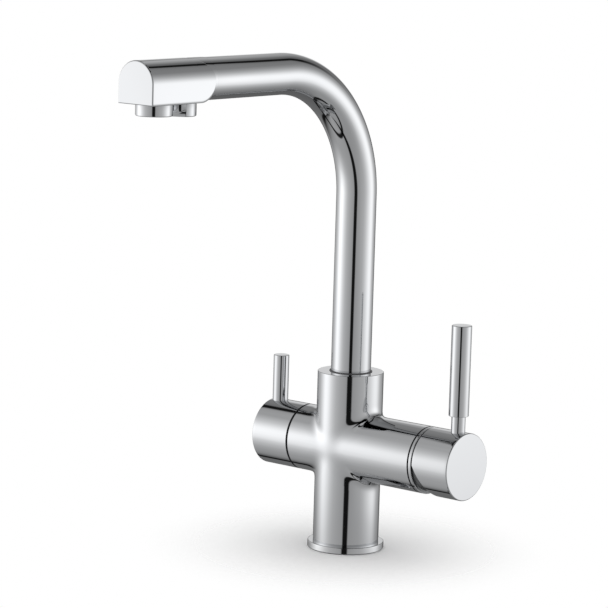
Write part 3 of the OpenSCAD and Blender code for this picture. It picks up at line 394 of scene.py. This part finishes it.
def rounded(corners, closed=False, steps=4):
    """A profile of (radius, height, corner radius) with each corner turned into an arc."""
    count = len(corners)
    points = []
    for i, (r, h, size) in enumerate(corners):
        here = np.array([r, h], float)
        if size <= 0 or (not closed and i in (0, count - 1)):
            points.append(here)
            continue
        before = np.array(corners[i - 1][:2], float) - here
        after = np.array(corners[(i + 1) % count][:2], float) - here
        before /= np.linalg.norm(before)
        after /= np.linalg.norm(after)
        half = math.acos(np.clip(before @ after, -1, 1)) / 2
        reach = size / math.tan(half)
        middle = (before + after) / np.linalg.norm(before + after)
        centre = here + middle * size / math.sin(half)
        first = here + before * reach - centre
        second = here + after * reach - centre
        turn = math.pi - 2 * half
        for k in range(steps + 1):
            t = k / steps
            arc = (math.sin((1 - t) * turn) * first + math.sin(t * turn) * second) / math.sin(turn)
            points.append(centre + arc)
    if closed:
        points.append(points[0])
    return points


def along_x(centre, side=1):
    """Places lathe points with their height along X, or against it where side is -1."""
    def place(r, h, angle):
        return (centre[0] + side * h, centre[1] - r * np.cos(angle), centre[2] + r * np.sin(angle))
    return place


def along_y(centre):
    """Places lathe points with their height along Y."""
    def place(r, h, angle):
        return (centre[0] + r * np.sin(angle), centre[1] + h, centre[2] + r * np.cos(angle))
    return place


def along_z(centre=(0, 0, 0)):
    """Places lathe points with their height up along Z."""
    def place(r, h, angle):
        return (centre[0] + r * np.sin(angle), centre[1] - r * np.cos(angle), centre[2] + h)
    return place


def angles(count=around):
    """Equal angles over a full turn."""
    return np.arange(count) * 2 * math.pi / count


def ring(place, r, h, count=around):
    """A ring of points at radius r and height h."""
    return np.stack(np.broadcast_arrays(*place(r, h, angles(count))), axis=1)


def lathe(skin, place, profile, count=around, kind=PLAIN):
    """Turns a profile round its axis; ends on the axis are closed with a fan."""
    rows = [ring(place, r, h, count) for r, h in profile if r > same_point]
    skin.grid(rows, kind)
    for end, row in ((profile[0], rows[0]), (profile[-1], rows[-1])):
        if end[0] <= same_point:
            skin.fan(row, np.array(place(0.0, end[1], 0.0)), kind)


def soften(piece, width, angle):
    """Rounds a piece's edges that turn by more than the angle in degrees."""
    edge = piece.modifiers.new("soft edges", "BEVEL")
    edge.limit_method = "ANGLE"
    edge.angle_limit = math.radians(angle)
    edge.width = width
    edge.segments = 3
    weld = piece.modifiers.new("joined points", "WELD")
    weld.merge_threshold = 10 * same_point
    if piece.modifiers.find("face weights") < 0:
        even_shading(piece)
    piece.modifiers.move(piece.modifiers.find("face weights"), len(piece.modifiers) - 1)


# The cross casting: a column and a crossbar that flow into each other

def blend_field(p):
    """Distance outside the blended cross, and its slope, for points seen from the crossing."""
    x, y, z = p.T
    column_h = np.hypot(x, y)
    bar_h = np.hypot(y, z)
    a = column_h - column_r
    b = bar_h - bar_r
    zero = np.zeros_like(x)
    slope_a = np.stack([x / column_h, y / column_h, zero], 1)
    slope_b = np.stack([zero, y / bar_h, z / bar_h], 1)
    facing = (slope_a * slope_b).sum(1)
    k = blend_least + (blend_width - blend_least) * (1 - np.clip(facing, 0, 1))
    h = np.clip(k - np.abs(a - b), 0, None) / k
    field = np.minimum(a, b) - h ** 3 * k / 6
    share = np.where(a < b, h ** 2 / 2, 1 - h ** 2 / 2)[:, None]
    slope = slope_a * (1 - share) + slope_b * share
    return field, slope


def settle(p):
    """Moves points onto the blended surface."""
    p = p.copy()
    for _ in range(12):
        field, slope = blend_field(p)
        p -= slope * (field / (slope ** 2).sum(1))[:, None]
    return p


def casting_arm(skin, axis, side, radius, length, keeper=None):
    """One arm's outer skin, from the diagonal where the four arms meet out to its end.

    The arm lies along the axis "x" or "z", on the given side of the crossing. Where keeper is
    a height, the keeper screw's hole is drilled there from behind.
    """
    turn = angles()
    meeting_r = (column_r + bar_r) / 2
    blend_reach = blend_width + 4 * MM
    rows = []
    for t in np.linspace(0, 1, 30):
        r = meeting_r + (radius - meeting_r) * t
        across = r * np.sin(turn)
        front = -r * np.cos(turn)
        out = side * (np.abs(across) + blend_reach * t ** 1.15)
        rows.append(settle(make_points(axis, across, front, out)))
    if keeper is None:
        rows.append(make_points(axis, across, front, np.full(around, side * length)))
    else:
        start = np.abs(across) + blend_reach
        skin.drilled(along_z((0, 0, bar_z)), radius, start, length, rear_column, keeper, keeper_hole_r,
                     keeper_hole_depth)
    for row in rows:
        row[:, 2] += bar_z
    skin.grid(rows)


def make_points(axis, across, front, out):
    """Points of an arm from their places across it, to the front and out along it."""
    if axis == "z":
        return np.stack([across, front, out], 1)
    return np.stack([out, front, across], 1)


def tap_casting():
    """The four arms with their mouths and bores, and the foot."""
    skin = Skin()
    keeper_z = (low("spout_keeper").z + high("spout_keeper").z) / 2
    casting_arm(skin, "z", 1, column_r, column_top_z - rim - bar_z, keeper_z - bar_z)
    casting_arm(skin, "z", -1, column_r, bar_z - column_z)
    casting_arm(skin, "x", 1, bar_r, bar_right_x - rim)
    casting_arm(skin, "x", -1, bar_r, -bar_left_x - knob_rim)

    # Top of the column, with the bore for the spout's pivot
    glide_r = 15.06 * MM
    journal_r = 13.56 * MM
    bore_z = column_top_z - 35 * MM
    top = [(column_r, column_top_z - rim, 0), (column_r, column_top_z, rim), (glide_r, column_top_z, 0)]
    lathe(skin, along_z(), rounded(top))
    bore = [(glide_r, column_top_z), (glide_r, tube_z), (journal_r, tube_z), (journal_r, bore_z), (0, bore_z)]
    # The bore gets the near-black painted shade of a joint, as do the mouths and the sockets below
    lathe(skin, along_z(), bore, kind=SHADED_JOINT)

    # Mouth of the mixer arm, with the bore for the cartridge and its nut
    nut_r = 19 * MM
    seat_r = 17.6 * MM
    seat_x = low("cartridge_base").x - 0.3 * MM
    nut_x = low("cartridge_nut").x
    mouth = [(bar_r, bar_right_x - rim, 0), (bar_r, bar_right_x, rim), (nut_r, bar_right_x, 0),
             (nut_r, nut_x, 0), (seat_r, nut_x, 0), (seat_r, seat_x, 0), (0, seat_x, 0)]
    lathe(skin, along_x((0, 0, bar_z)), rounded(mouth), kind=SHADED_JOINT)

    # Mouth of the filter arm, with a pocket and the bore for the valve
    pocket_r = 17 * MM
    thread_r = 10.45 * MM
    left_x = -bar_left_x
    pocket_x = left_x - 4 * MM
    thread_x = left_x - 17.2 * MM
    mouth = [(bar_r, left_x - knob_rim, 0), (bar_r, left_x, knob_rim), (pocket_r, left_x, 0),
             (pocket_r, pocket_x, 0), (thread_r, pocket_x, 0), (thread_r, thread_x, 0), (0, thread_x, 0)]
    lathe(skin, along_x((0, 0, bar_z), -1), rounded(mouth), kind=SHADED_JOINT)

    # Foot
    foot_edge = 0.3 * MM
    flat_r = foot_r - 0.7 * MM
    foot = [(column_r, column_z, 0), (foot_r, column_z, 0), (foot_r, foot_z, foot_edge), (flat_r, foot_z, 0)]
    lathe(skin, along_z(), rounded(foot))
    under_foot(skin, flat_r)
    skin.object("tap_casting", "tap", "tap_body")


def under_foot(skin, flat_r):
    """The foot's underside, with the blind sockets for the hoses and the fixing stud."""
    loops = [ring(along_z(), flat_r, foot_z)]
    for mount in frame["record"]["mounts"]:
        if mount["kind"] != "threaded_hole":
            continue
        x, y, _ = mount["pos_m"]
        r = mount["dims"]["r_mm"] * MM
        floor_z = foot_z + mount["dims"]["length_mm"] * MM
        place = along_z((x, y, 0))
        loops.append(ring(place, r, foot_z, socket_around))
        lathe(skin, place, [(r, foot_z), (r, floor_z), (0, floor_z)], socket_around, kind=SHADED_JOINT)
    start = len(skin.points)
    for loop in loops:
        skin.points.extend(loop)
    for triangle in tessellate_polygon([[Vector(point) for point in loop] for loop in loops]):
        skin.add(tuple(start + index for index in triangle))


def flange_ring():
    """The ring on the deck, with the groove for its gasket below."""
    bore_r = foot_r + 0.05 * MM
    gasket_out = flange_r - 1.5 * MM
    gasket_in = gasket_out - 5 * MM
    groove_z = flange_z + 1 * MM
    profile = [(bore_r, flange_z, 0), (bore_r, column_z, 0.1 * MM), (flange_r, column_z, 0.7 * MM),
               (flange_r, flange_z, 0.35 * MM), (gasket_out, flange_z, 0), (gasket_out, groove_z, 0),
               (gasket_in, groove_z, 0), (gasket_in, flange_z, 0)]
    skin = Skin()
    lathe(skin, along_z(), rounded(profile, closed=True))
    skin.object("flange_ring", "tap", "base_flange")


# The spout: riser, bend and arm in one tube

def spout_frames(bend_steps=96):
    """Points of the tube's centreline, each with the direction in which the tube runs there."""
    bend_z = arm_z - bend_r
    frames = [((0, 0, tube_z), (0, 0, 1)), ((0, 0, (tube_z + bend_z) / 2), (0, 0, 1))]
    for k in range(bend_steps + 1):
        t = k / bend_steps * math.pi / 2
        centre = (0, -bend_r + bend_r * math.cos(t), bend_z + bend_r * math.sin(t))
        frames.append((centre, (0, -math.sin(t), math.cos(t))))
    frames.append(((0, (block_back_y - bend_r) / 2, arm_z), (0, -1, 0)))
    frames.append(((0, block_back_y, arm_z), (0, -1, 0)))
    return frames


def tube_rows(r, frames):
    """Rings of points round the tube's centreline."""
    rows = []
    turn = angles()
    sideways = np.array([1.0, 0, 0])
    for centre, forward in frames:
        up = np.cross(sideways, np.array(forward))
        rows.append(np.array(centre) + r * (np.outer(np.sin(turn), sideways) + np.outer(np.cos(turn), up)))
    return rows


def spout_tube():
    """The bent tube, open at both ends."""
    skin = Skin()
    frames = spout_frames()
    outer = tube_rows(tube_r, frames)
    inner = tube_rows(tube_r - tube_wall, frames)
    skin.grid(outer + inner[::-1] + [outer[0]])
    skin.object("bent_spout", "spout", "spout_tube")


# The outlet block: an arch in section, with a heel that is round in side view

block_half = high("outlet_block").x
block_rise = high("outlet_block").z - arm_z
block_drop = 13.8 * MM
heel_y = tip_y + 46 * MM
collar_r = 14.2 * MM
tip_edge = 0.9 * MM

# Half the height of the narrow face that closes the heel
heel_end = 0.2 * MM


def head_section(y, reach, inset=0.0):
    """The arch at y, cut off above and below at the given reach from the tube's centreline."""
    half = block_half - inset
    spring = block_rise - block_half
    foot = max(-reach, -block_drop + inset)
    side_top = max(spring, foot)
    first = math.asin((side_top - spring) / half)
    last = math.asin(min((reach - spring) / half, 1))
    right = [(half, z) for z in np.linspace(foot, side_top, 8)[:-1]]
    for t in np.linspace(first, last, 33):
        right.append((half * math.cos(t), spring + half * math.sin(t)))
    top_x, top_z = right[-1]
    top = [(x, top_z) for x in np.linspace(top_x, -top_x, 14)[1:-1]]
    left = [(-x, z) for x, z in right[::-1]]
    under = [(x, foot) for x in np.linspace(-half, half, 26)[1:-1]]
    return np.array([(x, y, arm_z + z) for x, z in right + top + left + under])


def spout_head():
    """The outlet block from its tip to its heel, and the collar that meets the tube."""
    skin = Skin()
    rows = []
    for t in np.linspace(0, math.pi / 2, 6):
        inset = tip_edge * (1 - math.sin(t))
        rows.append(head_section(tip_y + tip_edge * (1 - math.cos(t)), block_rise - inset, inset))
    rows += [head_section(y, block_rise) for y in np.linspace(tip_y + tip_edge, heel_y, 16)[1:]]
    for t in np.linspace(0, math.pi / 2, 30)[:-1]:
        rows.append(head_section(heel_y + block_drop * math.sin(t), block_drop * math.cos(t)))
    rows.append(head_section(heel_y + block_drop, heel_end))
    skin.grid(rows)
    skin.cap(rows[0])
    skin.cap(rows[-1])
    inner_r = tube_r - tube_wall
    collar_y = heel_y - 0.8 * MM
    collar = [(collar_r, collar_y, 0), (collar_r, block_back_y, 0.15 * MM), (inner_r, block_back_y, 0),
              (inner_r, collar_y, 0)]
    lathe(skin, along_y((0, 0, arm_z)), rounded(collar, closed=True))
    soften(skin.object("spout_head", "spout", "outlet_block"), 0.4 * MM, 35)


# Mixer: cover ring with its dome, hub, lever rod and sleeve

def dome_arc(r, first, last, steps):
    """Lathe points on a ball of radius r round the lever's pivot, by their angle from its equator."""
    return [(r * math.cos(t), pivot_x + r * math.sin(t)) for t in np.linspace(first, last, steps)]


def cover_ring():
    """The ring on the mixer arm's mouth, the dome on which the hub tilts, and the spigot inside."""
    seam_r = bar_r - 0.8 * MM
    dome_r = 21.6 * MM
    dome_wall = 2 * MM
    dome_inner_end = 0.12
    ring_x = bar_right_x + 0.4 * MM
    ring_end_x = ring_x + 2.5 * MM
    ring_edge = 0.4 * MM
    spigot_x = low("cover_ring").x
    spigot_r = 18.95 * MM
    bore_r = spigot_r - 1.7 * MM
    first = math.asin((ring_end_x - pivot_x) / dome_r)
    last = math.asin((high("cover_ring").x - pivot_x) / dome_r)
    outer = dome_arc(dome_r, first, last, 24)
    inner = dome_arc(dome_r - dome_wall, last, dome_inner_end, 16)
    place = along_x((0, 0, bar_z))
    skin = Skin()
    front = rounded([(bar_r, ring_x + rim, 0), (bar_r, ring_end_x, ring_edge), (*outer[0], 0)])
    lathe(skin, place, front[:-1])
    # The dome gets a dark grey painted shade; the inside and the seam get the near-black painted shade of a
    # joint
    lathe(skin, place, front[-2:] + outer[1:], kind=SHADED_DOME)
    inside = [outer[-1]] + inner + [(bore_r, inner[-1][1]), (bore_r, spigot_x), (spigot_r, spigot_x),
                                    (spigot_r, bar_right_x), (seam_r, bar_right_x), (seam_r, ring_x)]
    lathe(skin, place, inside, kind=SHADED_JOINT)
    seam = [(seam_r, ring_x, 0), (bar_r, ring_x, rim), (bar_r, ring_x + rim, 0)]
    lathe(skin, place, rounded(seam), kind=SHADED_JOINT)
    skin.object("mixer_cover", "tap", "cover_ring")


def hub_edge(turn):
    """The hub's rear edge: straight above, and cut back below so that the hub can tilt on the dome."""
    cut_angle = math.radians(26)
    cut_distance = 5.05 * MM
    z = bar_r * np.sin(turn)
    straight = low("mixer_hub").x - pivot_x
    slanted = (cut_distance - z * math.sin(cut_angle)) / math.cos(cut_angle)
    return pivot_x + np.maximum(straight, slanted)


def mixer_hub():
    """The hub: a cup whose bore goes over the dome, with the plug's hole below."""
    skin = Skin()
    turn = angles()
    end_x = high("mixer_hub").x
    bore_r = 22 * MM
    floor_x = end_x - 14.9 * MM
    lip_width = 0.15 * MM
    lip_depth = 0.3 * MM
    plug_x = (low("hub_plug").x + high("hub_plug").x) / 2
    place = along_x((0, 0, bar_z))
    edge = hub_edge(turn)
    rows = []
    for t in np.linspace(0, math.pi / 2, 5):
        r = bar_r - rim * (1 - math.sin(t))
        rows.append(np.stack(place(r, edge + rim * (1 - math.cos(t)), turn), 1))
    bore = [np.stack(place(bore_r, x, turn), 1) for x in (np.full(around, floor_x), edge + lip_depth)]
    lip = [np.stack(place(bore_r + lip_width, edge, turn), 1)]
    # The bore and its lip get the near-black painted shade of a joint
    skin.grid(bore + lip, kind=SHADED_JOINT)
    skin.grid(lip + rows)
    skin.fan(bore[0], (floor_x, 0, bar_z), kind=SHADED_JOINT)
    skin.drilled(place, bar_r, edge + rim, end_x - face_rim, bottom_column, plug_x, plug_r, plug_hole_depth)
    lathe(skin, place, rounded([(bar_r, end_x - face_rim, 0), (bar_r, end_x, face_rim), (0, end_x, 0)]))
    skin.object("mixer_head", "mixer_handle", "mixer_hub")


def lever():
    """The lever's rod and the sleeve on its upper end."""
    x = (low("lever_sleeve").x + high("lever_sleeve").x) / 2
    place = along_z((x, 0, 0))
    rod_r = 4.85 * MM
    rod_low = low("lever_rod").z
    rod_high = high("lever_rod").z
    profile = [(0, rod_low, 0), (rod_r, rod_low, small_rim), (rod_r, rod_high, small_rim), (0, rod_high, 0)]
    rod = Skin()
    lathe(rod, place, rounded(profile), rod_around)
    rod.object("lever_core", "mixer_handle", "lever_rod")

    outer_r = high("lever_sleeve").y
    bottom = low("lever_sleeve").z
    top = high("lever_sleeve").z
    bore_r = rod_r + 0.05 * MM
    profile = [(0, top, 0), (outer_r, top, 0.55 * MM), (outer_r, bottom, 0.35 * MM),
               (bore_r, bottom, 0.15 * MM), (bore_r, rod_high, 0), (0, rod_high, 0)]
    sleeve = Skin()
    lathe(sleeve, place, rounded(profile), sleeve_around)
    sleeve.object("lever_grip", "mixer_handle", "lever_sleeve")


# Filter side: knob and pin

def filter_knob():
    """The knob: a cup over the valve's stem, with the plug's hole below."""
    skin = Skin()
    place = along_x((0, 0, bar_z), -1)
    near_x = -high("filter_knob").x
    far_x = -low("filter_knob").x
    bore_r = bar_r - 2.3 * MM
    bore_edge = 0.5 * MM
    floor_x = near_x + 9.3 * MM
    plug_x = -(low("knob_plug").x + high("knob_plug").x) / 2
    start = near_x + knob_rim
    end = far_x - face_rim
    mouth = [(0, floor_x, 0), (bore_r, floor_x, bore_edge), (bore_r, near_x, 0), (bar_r, near_x, knob_rim),
             (bar_r, start, 0)]
    # The mouth, its rim and the bore get the near-black painted shade of a joint
    lathe(skin, place, rounded(mouth), kind=SHADED_JOINT)
    skin.drilled(place, bar_r, start, end, bottom_column, plug_x, plug_r, plug_hole_depth)
    lathe(skin, place, rounded([(bar_r, end, 0), (bar_r, far_x, face_rim), (0, far_x, 0)]))
    skin.object("filter_head", "filter_handle", "filter_knob")


def filter_pin():
    """The knob's lever, a plain pin."""
    x = (low("filter_pin").x + high("filter_pin").x) / 2
    r = high("filter_pin").y
    bottom = low("filter_pin").z
    top = high("filter_pin").z
    top_edge = 0.5 * MM
    profile = [(0, bottom, 0), (r, bottom, small_rim), (r, top, top_edge), (0, top, 0)]
    skin = Skin()
    lathe(skin, along_z((x, 0, 0)), rounded(profile), rod_around)
    skin.object("filter_lever", "filter_handle", "filter_pin")


tap_casting()
flange_ring()
spout_tube()
spout_head()
cover_ring()
mixer_hub()
lever()
filter_knob()
filter_pin()
for outlet in ("aerator_housing", "filter_outlet"):
    soften(frame["nodes"][outlet], small_rim, 30)


# Camera at the photograph's angle

camera_azimuth = 39.41
camera_elevation = 8.98
camera_roll = 1.68
camera_distance = 2.01908
focal_pixels = 2894.67
image_size = 608
sensor_width = 36.0
target_z = 0.17238
target_right = -0.03415


def camera():
    """A camera at its fitted place, turned about its own axis by the roll."""
    azimuth = math.radians(camera_azimuth)
    elevation = math.radians(camera_elevation)
    roll = math.radians(camera_roll)
    back = Vector((math.sin(azimuth) * math.cos(elevation), -math.cos(azimuth) * math.cos(elevation),
                   math.sin(elevation)))
    level_right = Vector((math.cos(azimuth), math.sin(azimuth), 0))
    level_up = back.cross(level_right)
    right = level_right * math.cos(roll) + level_up * math.sin(roll)
    up = level_up * math.cos(roll) - level_right * math.sin(roll)
    target = Vector((0, 0, target_z)) + level_right * target_right
    place = target + back * camera_distance
    data = bpy.data.cameras.new("camera")
    data.sensor_width = sensor_width
    data.lens = focal_pixels / image_size * sensor_width
    data.clip_end = 50
    eye = bpy.data.objects.new("camera", data)
    bpy.context.scene.collection.objects.link(eye)
    eye.matrix_world = Matrix((
        (right.x, up.x, back.x, place.x),
        (right.y, up.y, back.y, place.y),
        (right.z, up.z, back.z, place.z),
        (0, 0, 0, 1)))
    bpy.context.scene.camera = eye


# Shader nodes of the floor, the world and the tent

def math_node(tree, operation, first, second=None):
    """Joins a calculation of one or two values or sockets."""
    node = tree.nodes.new("ShaderNodeMath")
    node.operation = operation
    for socket, value in ((node.inputs[0], first), (node.inputs[1], second)):
        if value is None:
            continue
        if isinstance(value, (int, float)):
            socket.default_value = value
        else:
            tree.links.new(value, socket)
    return node.outputs[0]


def blend(tree, share, first, second):
    """The first value where the share is 0, the second where it is 1."""
    node = tree.nodes.new("ShaderNodeMix")
    tree.links.new(share, node.inputs["Factor"])
    tree.links.new(first, node.inputs["A"])
    tree.links.new(second, node.inputs["B"])
    return node.outputs["Result"]


def ramp(tree, value, stops, reach, top=1.0):
    """A brightness curve over an angle. Its stops are (place, brightness), from -reach to reach
    degrees, and no brightness is above top."""
    node = tree.nodes.new("ShaderNodeValToRGB")
    curve = node.color_ramp
    while len(curve.elements) < len(stops):
        curve.elements.new(0.5)
    # Brightness comes after all places, since a moved stop can change the order of the others
    for element, (place, _) in zip(curve.elements, stops):
        element.position = (place + reach) / (2 * reach)
    for element, (_, level) in zip(curve.elements, stops):
        element.color = (level / top, level / top, level / top, 1)
    share = tree.nodes.new("ShaderNodeMapRange")
    share.inputs["From Min"].default_value = math.radians(-reach)
    share.inputs["From Max"].default_value = math.radians(reach)
    tree.links.new(value, share.inputs["Value"])
    tree.links.new(share.outputs["Result"], node.inputs["Fac"])
    return math_node(tree, "MULTIPLY", node.outputs["Color"], top)


# Floor, world and light tent

floor_r = 0.42
floor_fade = (0.02, 0.15)


def floor():
    """A pale sheet with the tap's shadow by the foot. It fades out into the white background
    over the distances in floor_fade."""
    bpy.ops.mesh.primitive_circle_add(vertices=128, radius=floor_r, fill_type="NGON", location=(0, 0, 0))
    sheet = bpy.context.object
    sheet.name = "floor"
    material = bpy.data.materials.new("pale floor")
    material.use_nodes = True
    tree = material.node_tree
    tree.nodes.clear()
    output = tree.nodes.new("ShaderNodeOutputMaterial")
    place = tree.nodes.new("ShaderNodeTexCoord")
    length = tree.nodes.new("ShaderNodeVectorMath")
    length.operation = "LENGTH"
    tree.links.new(place.outputs["Object"], length.inputs[0])
    fade = tree.nodes.new("ShaderNodeMapRange")
    fade.interpolation_type = "SMOOTHSTEP"
    fade.inputs["From Min"].default_value = floor_fade[0]
    fade.inputs["From Max"].default_value = floor_fade[1]
    tree.links.new(length.outputs["Value"], fade.inputs["Value"])
    path = tree.nodes.new("ShaderNodeLightPath")
    share = math_node(tree, "MAXIMUM", fade.outputs["Result"], path.outputs["Is Glossy Ray"])
    matt = tree.nodes.new("ShaderNodeBsdfDiffuse")
    matt.inputs["Color"].default_value = (0.9, 0.9, 0.9, 1)
    clear = tree.nodes.new("ShaderNodeBsdfTransparent")
    mix = tree.nodes.new("ShaderNodeMixShader")
    tree.links.new(share, mix.inputs[0])
    tree.links.new(matt.outputs[0], mix.inputs[1])
    tree.links.new(clear.outputs[0], mix.inputs[2])
    tree.links.new(mix.outputs[0], output.inputs["Surface"])
    sheet.data.materials.append(material)


def studio_world():
    """White behind everything that is seen directly or mirrored, and an even light on matt faces."""
    studio = bpy.data.worlds.new("studio")
    bpy.context.scene.world = studio
    studio.use_nodes = True
    tree = studio.node_tree
    background = tree.nodes["Background"]
    path = tree.nodes.new("ShaderNodeLightPath")
    seen = path.outputs["Is Camera Ray"]
    for kind in ("Is Glossy Ray", "Is Transmission Ray"):
        seen = math_node(tree, "MAXIMUM", seen, path.outputs[kind])
    level = tree.nodes.new("ShaderNodeMapRange")
    level.inputs["To Min"].default_value = 0.95
    level.inputs["To Max"].default_value = 1.0
    tree.links.new(seen, level.inputs["Value"])
    tree.links.new(level.outputs["Result"], background.inputs["Strength"])
    background.inputs["Color"].default_value = (1, 1, 1, 1)


tent_r = 1.5
tent_z = 0.17
middle_top = 2.0
card_level = 0.8

# The tent's brightness in three belts. Places are angles in degrees round the object from the
# photographer's place, negative to the left. A dark gap faces the camera, a soft panel stands
# on each side, and a dark seam runs up behind each panel.
MIDDLE = [(-180, 0.12), (-160, 0.2), (-147, 0.6), (-130, 0.75), (-118, 1.06), (-108, 1.42),
          (-98, 1.82), (-90, 1.82), (-82, 1.66), (-75, 1.41), (-68, 1.16), (-60, 0.94), (-50, 0.73),
          (-37, 0.6), (-20, 0.49), (-14, 0.43), (-11, 0.01), (3, 0.01), (7, 0.44), (26, 0.54),
          (44, 0.64), (57, 0.82), (70, 1.1), (85, 1.45), (94, 1.59), (103, 1.54), (112, 1.25),
          (121, 0.86), (134, 0.6), (145, 0.48), (153, 0.15), (180, 0.12)]
UPPER = [(-180, 0.6), (-174, 0.32), (-166, 0.3), (-147, 0.23), (-143, 0.01), (-132, 0.01),
         (-127, 0.4), (-122, 0.48), (-110, 0.52), (-98, 0.52), (-90, 0.56), (-50, 0.5), (-14, 0.45),
         (-11, 0.01), (3, 0.01), (7, 0.42), (60, 0.42), (100, 0.33), (120, 0.29), (129, 0.24),
         (133, 0.01), (143, 0.01), (147, 0.18), (156, 0.23), (168, 0.42), (180, 0.6)]
LOWER = [(-180, 0.17), (-149, 0.21), (-146, 0.01), (-139, 0.01), (-135, 0.16), (-122, 0.36),
         (-108, 0.46), (-90, 0.52), (-50, 0.5), (-14, 0.45), (-11, 0.01), (3, 0.01), (7, 0.42),
         (60, 0.44), (100, 0.42), (120, 0.34), (134, 0.26), (150, 0.15), (180, 0.17)]
# Share of the middle belt by height above the horizon, in degrees
BELT = [(-90, 0.0), (-47, 0.0), (-40, 0.06), (-32, 0.2), (-24, 0.42), (-20, 0.61), (-16, 0.75),
        (-8, 0.94), (0, 1.0), (6, 0.95), (12, 0.76), (18, 0.52), (25, 0.28), (32, 0.12), (40, 0.0),
        (90, 0.0)]
# Dark rings where the wall meets the ceiling and the table
RINGS = [(-90, 1.0), (-68, 1.0), (-66, 0.03), (-62, 0.03), (-60.5, 1.0), (54.5, 1.0), (56, 0.03),
         (60, 0.03), (62, 1.0), (90, 1.0)]
# The dark gap widens above the middle belt: its share by angle and by height
GAP_SIDES = [(-180, 0.0), (-50, 0.0), (-38, 1.0), (22, 1.0), (34, 0.0), (180, 0.0)]
GAP_TOP = [(-90, 0.0), (30, 0.0), (42, 1.0), (90, 1.0)]
# A pale card behind the tap, just above the horizon: its share by angle and by height
CARD_SIDES = [(-180, 1.0), (-171, 1.0), (-160, 0.0), (160, 0.0), (171, 1.0), (180, 1.0)]
CARD_HEIGHTS = [(-90, 0.0), (1, 0.0), (4, 1.0), (17, 1.0), (32, 0.0), (90, 0.0)]


def light_tent():
    """A dome round the object that only mirrors see."""
    bpy.ops.mesh.primitive_uv_sphere_add(segments=64, ring_count=32, radius=tent_r, location=(0, 0, tent_z))
    tent = bpy.context.object
    tent.name = "light_tent"
    tent.rotation_euler.z = math.radians(camera_azimuth)
    material = bpy.data.materials.new("tent wall")
    material.use_nodes = True
    tree = material.node_tree
    tree.nodes.clear()
    output = tree.nodes.new("ShaderNodeOutputMaterial")
    glow = tree.nodes.new("ShaderNodeEmission")
    place = tree.nodes.new("ShaderNodeTexCoord")
    unit = tree.nodes.new("ShaderNodeVectorMath")
    unit.operation = "NORMALIZE"
    tree.links.new(place.outputs["Object"], unit.inputs[0])
    parts = tree.nodes.new("ShaderNodeSeparateXYZ")
    tree.links.new(unit.outputs[0], parts.inputs[0])
    towards = math_node(tree, "MULTIPLY", parts.outputs["Y"], -1.0)
    bearing = math_node(tree, "ARCTAN2", parts.outputs["X"], towards)
    height = math_node(tree, "ARCSINE", parts.outputs["Z"])
    middle = ramp(tree, bearing, MIDDLE, 180, middle_top)
    upper = ramp(tree, bearing, UPPER, 180)
    lower = ramp(tree, bearing, LOWER, 180)
    above = math_node(tree, "GREATER_THAN", height, 0.0)
    outer = blend(tree, above, lower, upper)
    level = blend(tree, ramp(tree, height, BELT, 90), outer, middle)
    level = math_node(tree, "MULTIPLY", level, ramp(tree, height, RINGS, 90))
    sides = ramp(tree, bearing, GAP_SIDES, 180)
    gap = math_node(tree, "MULTIPLY", sides, ramp(tree, height, GAP_TOP, 90))
    level = math_node(tree, "MULTIPLY", level, math_node(tree, "SUBTRACT", 1.0, gap))
    sides = ramp(tree, bearing, CARD_SIDES, 180)
    card = math_node(tree, "MULTIPLY", sides, ramp(tree, height, CARD_HEIGHTS, 90))
    level = math_node(tree, "MAXIMUM", level, math_node(tree, "MULTIPLY", card, card_level))
    tree.links.new(level, glow.inputs["Strength"])
    glow.inputs["Color"].default_value = (1, 1, 1, 1)
    tree.links.new(glow.outputs[0], output.inputs["Surface"])
    material.cycles.emission_sampling = "NONE"
    tent.data.materials.append(material)
    tent.visible_camera = False
    tent.visible_diffuse = False
    tent.visible_shadow = False
    tent.visible_volume_scatter = False


camera()
floor()
studio_world()
light_tent()
bpy.context.scene.view_settings.view_transform = "Standard"
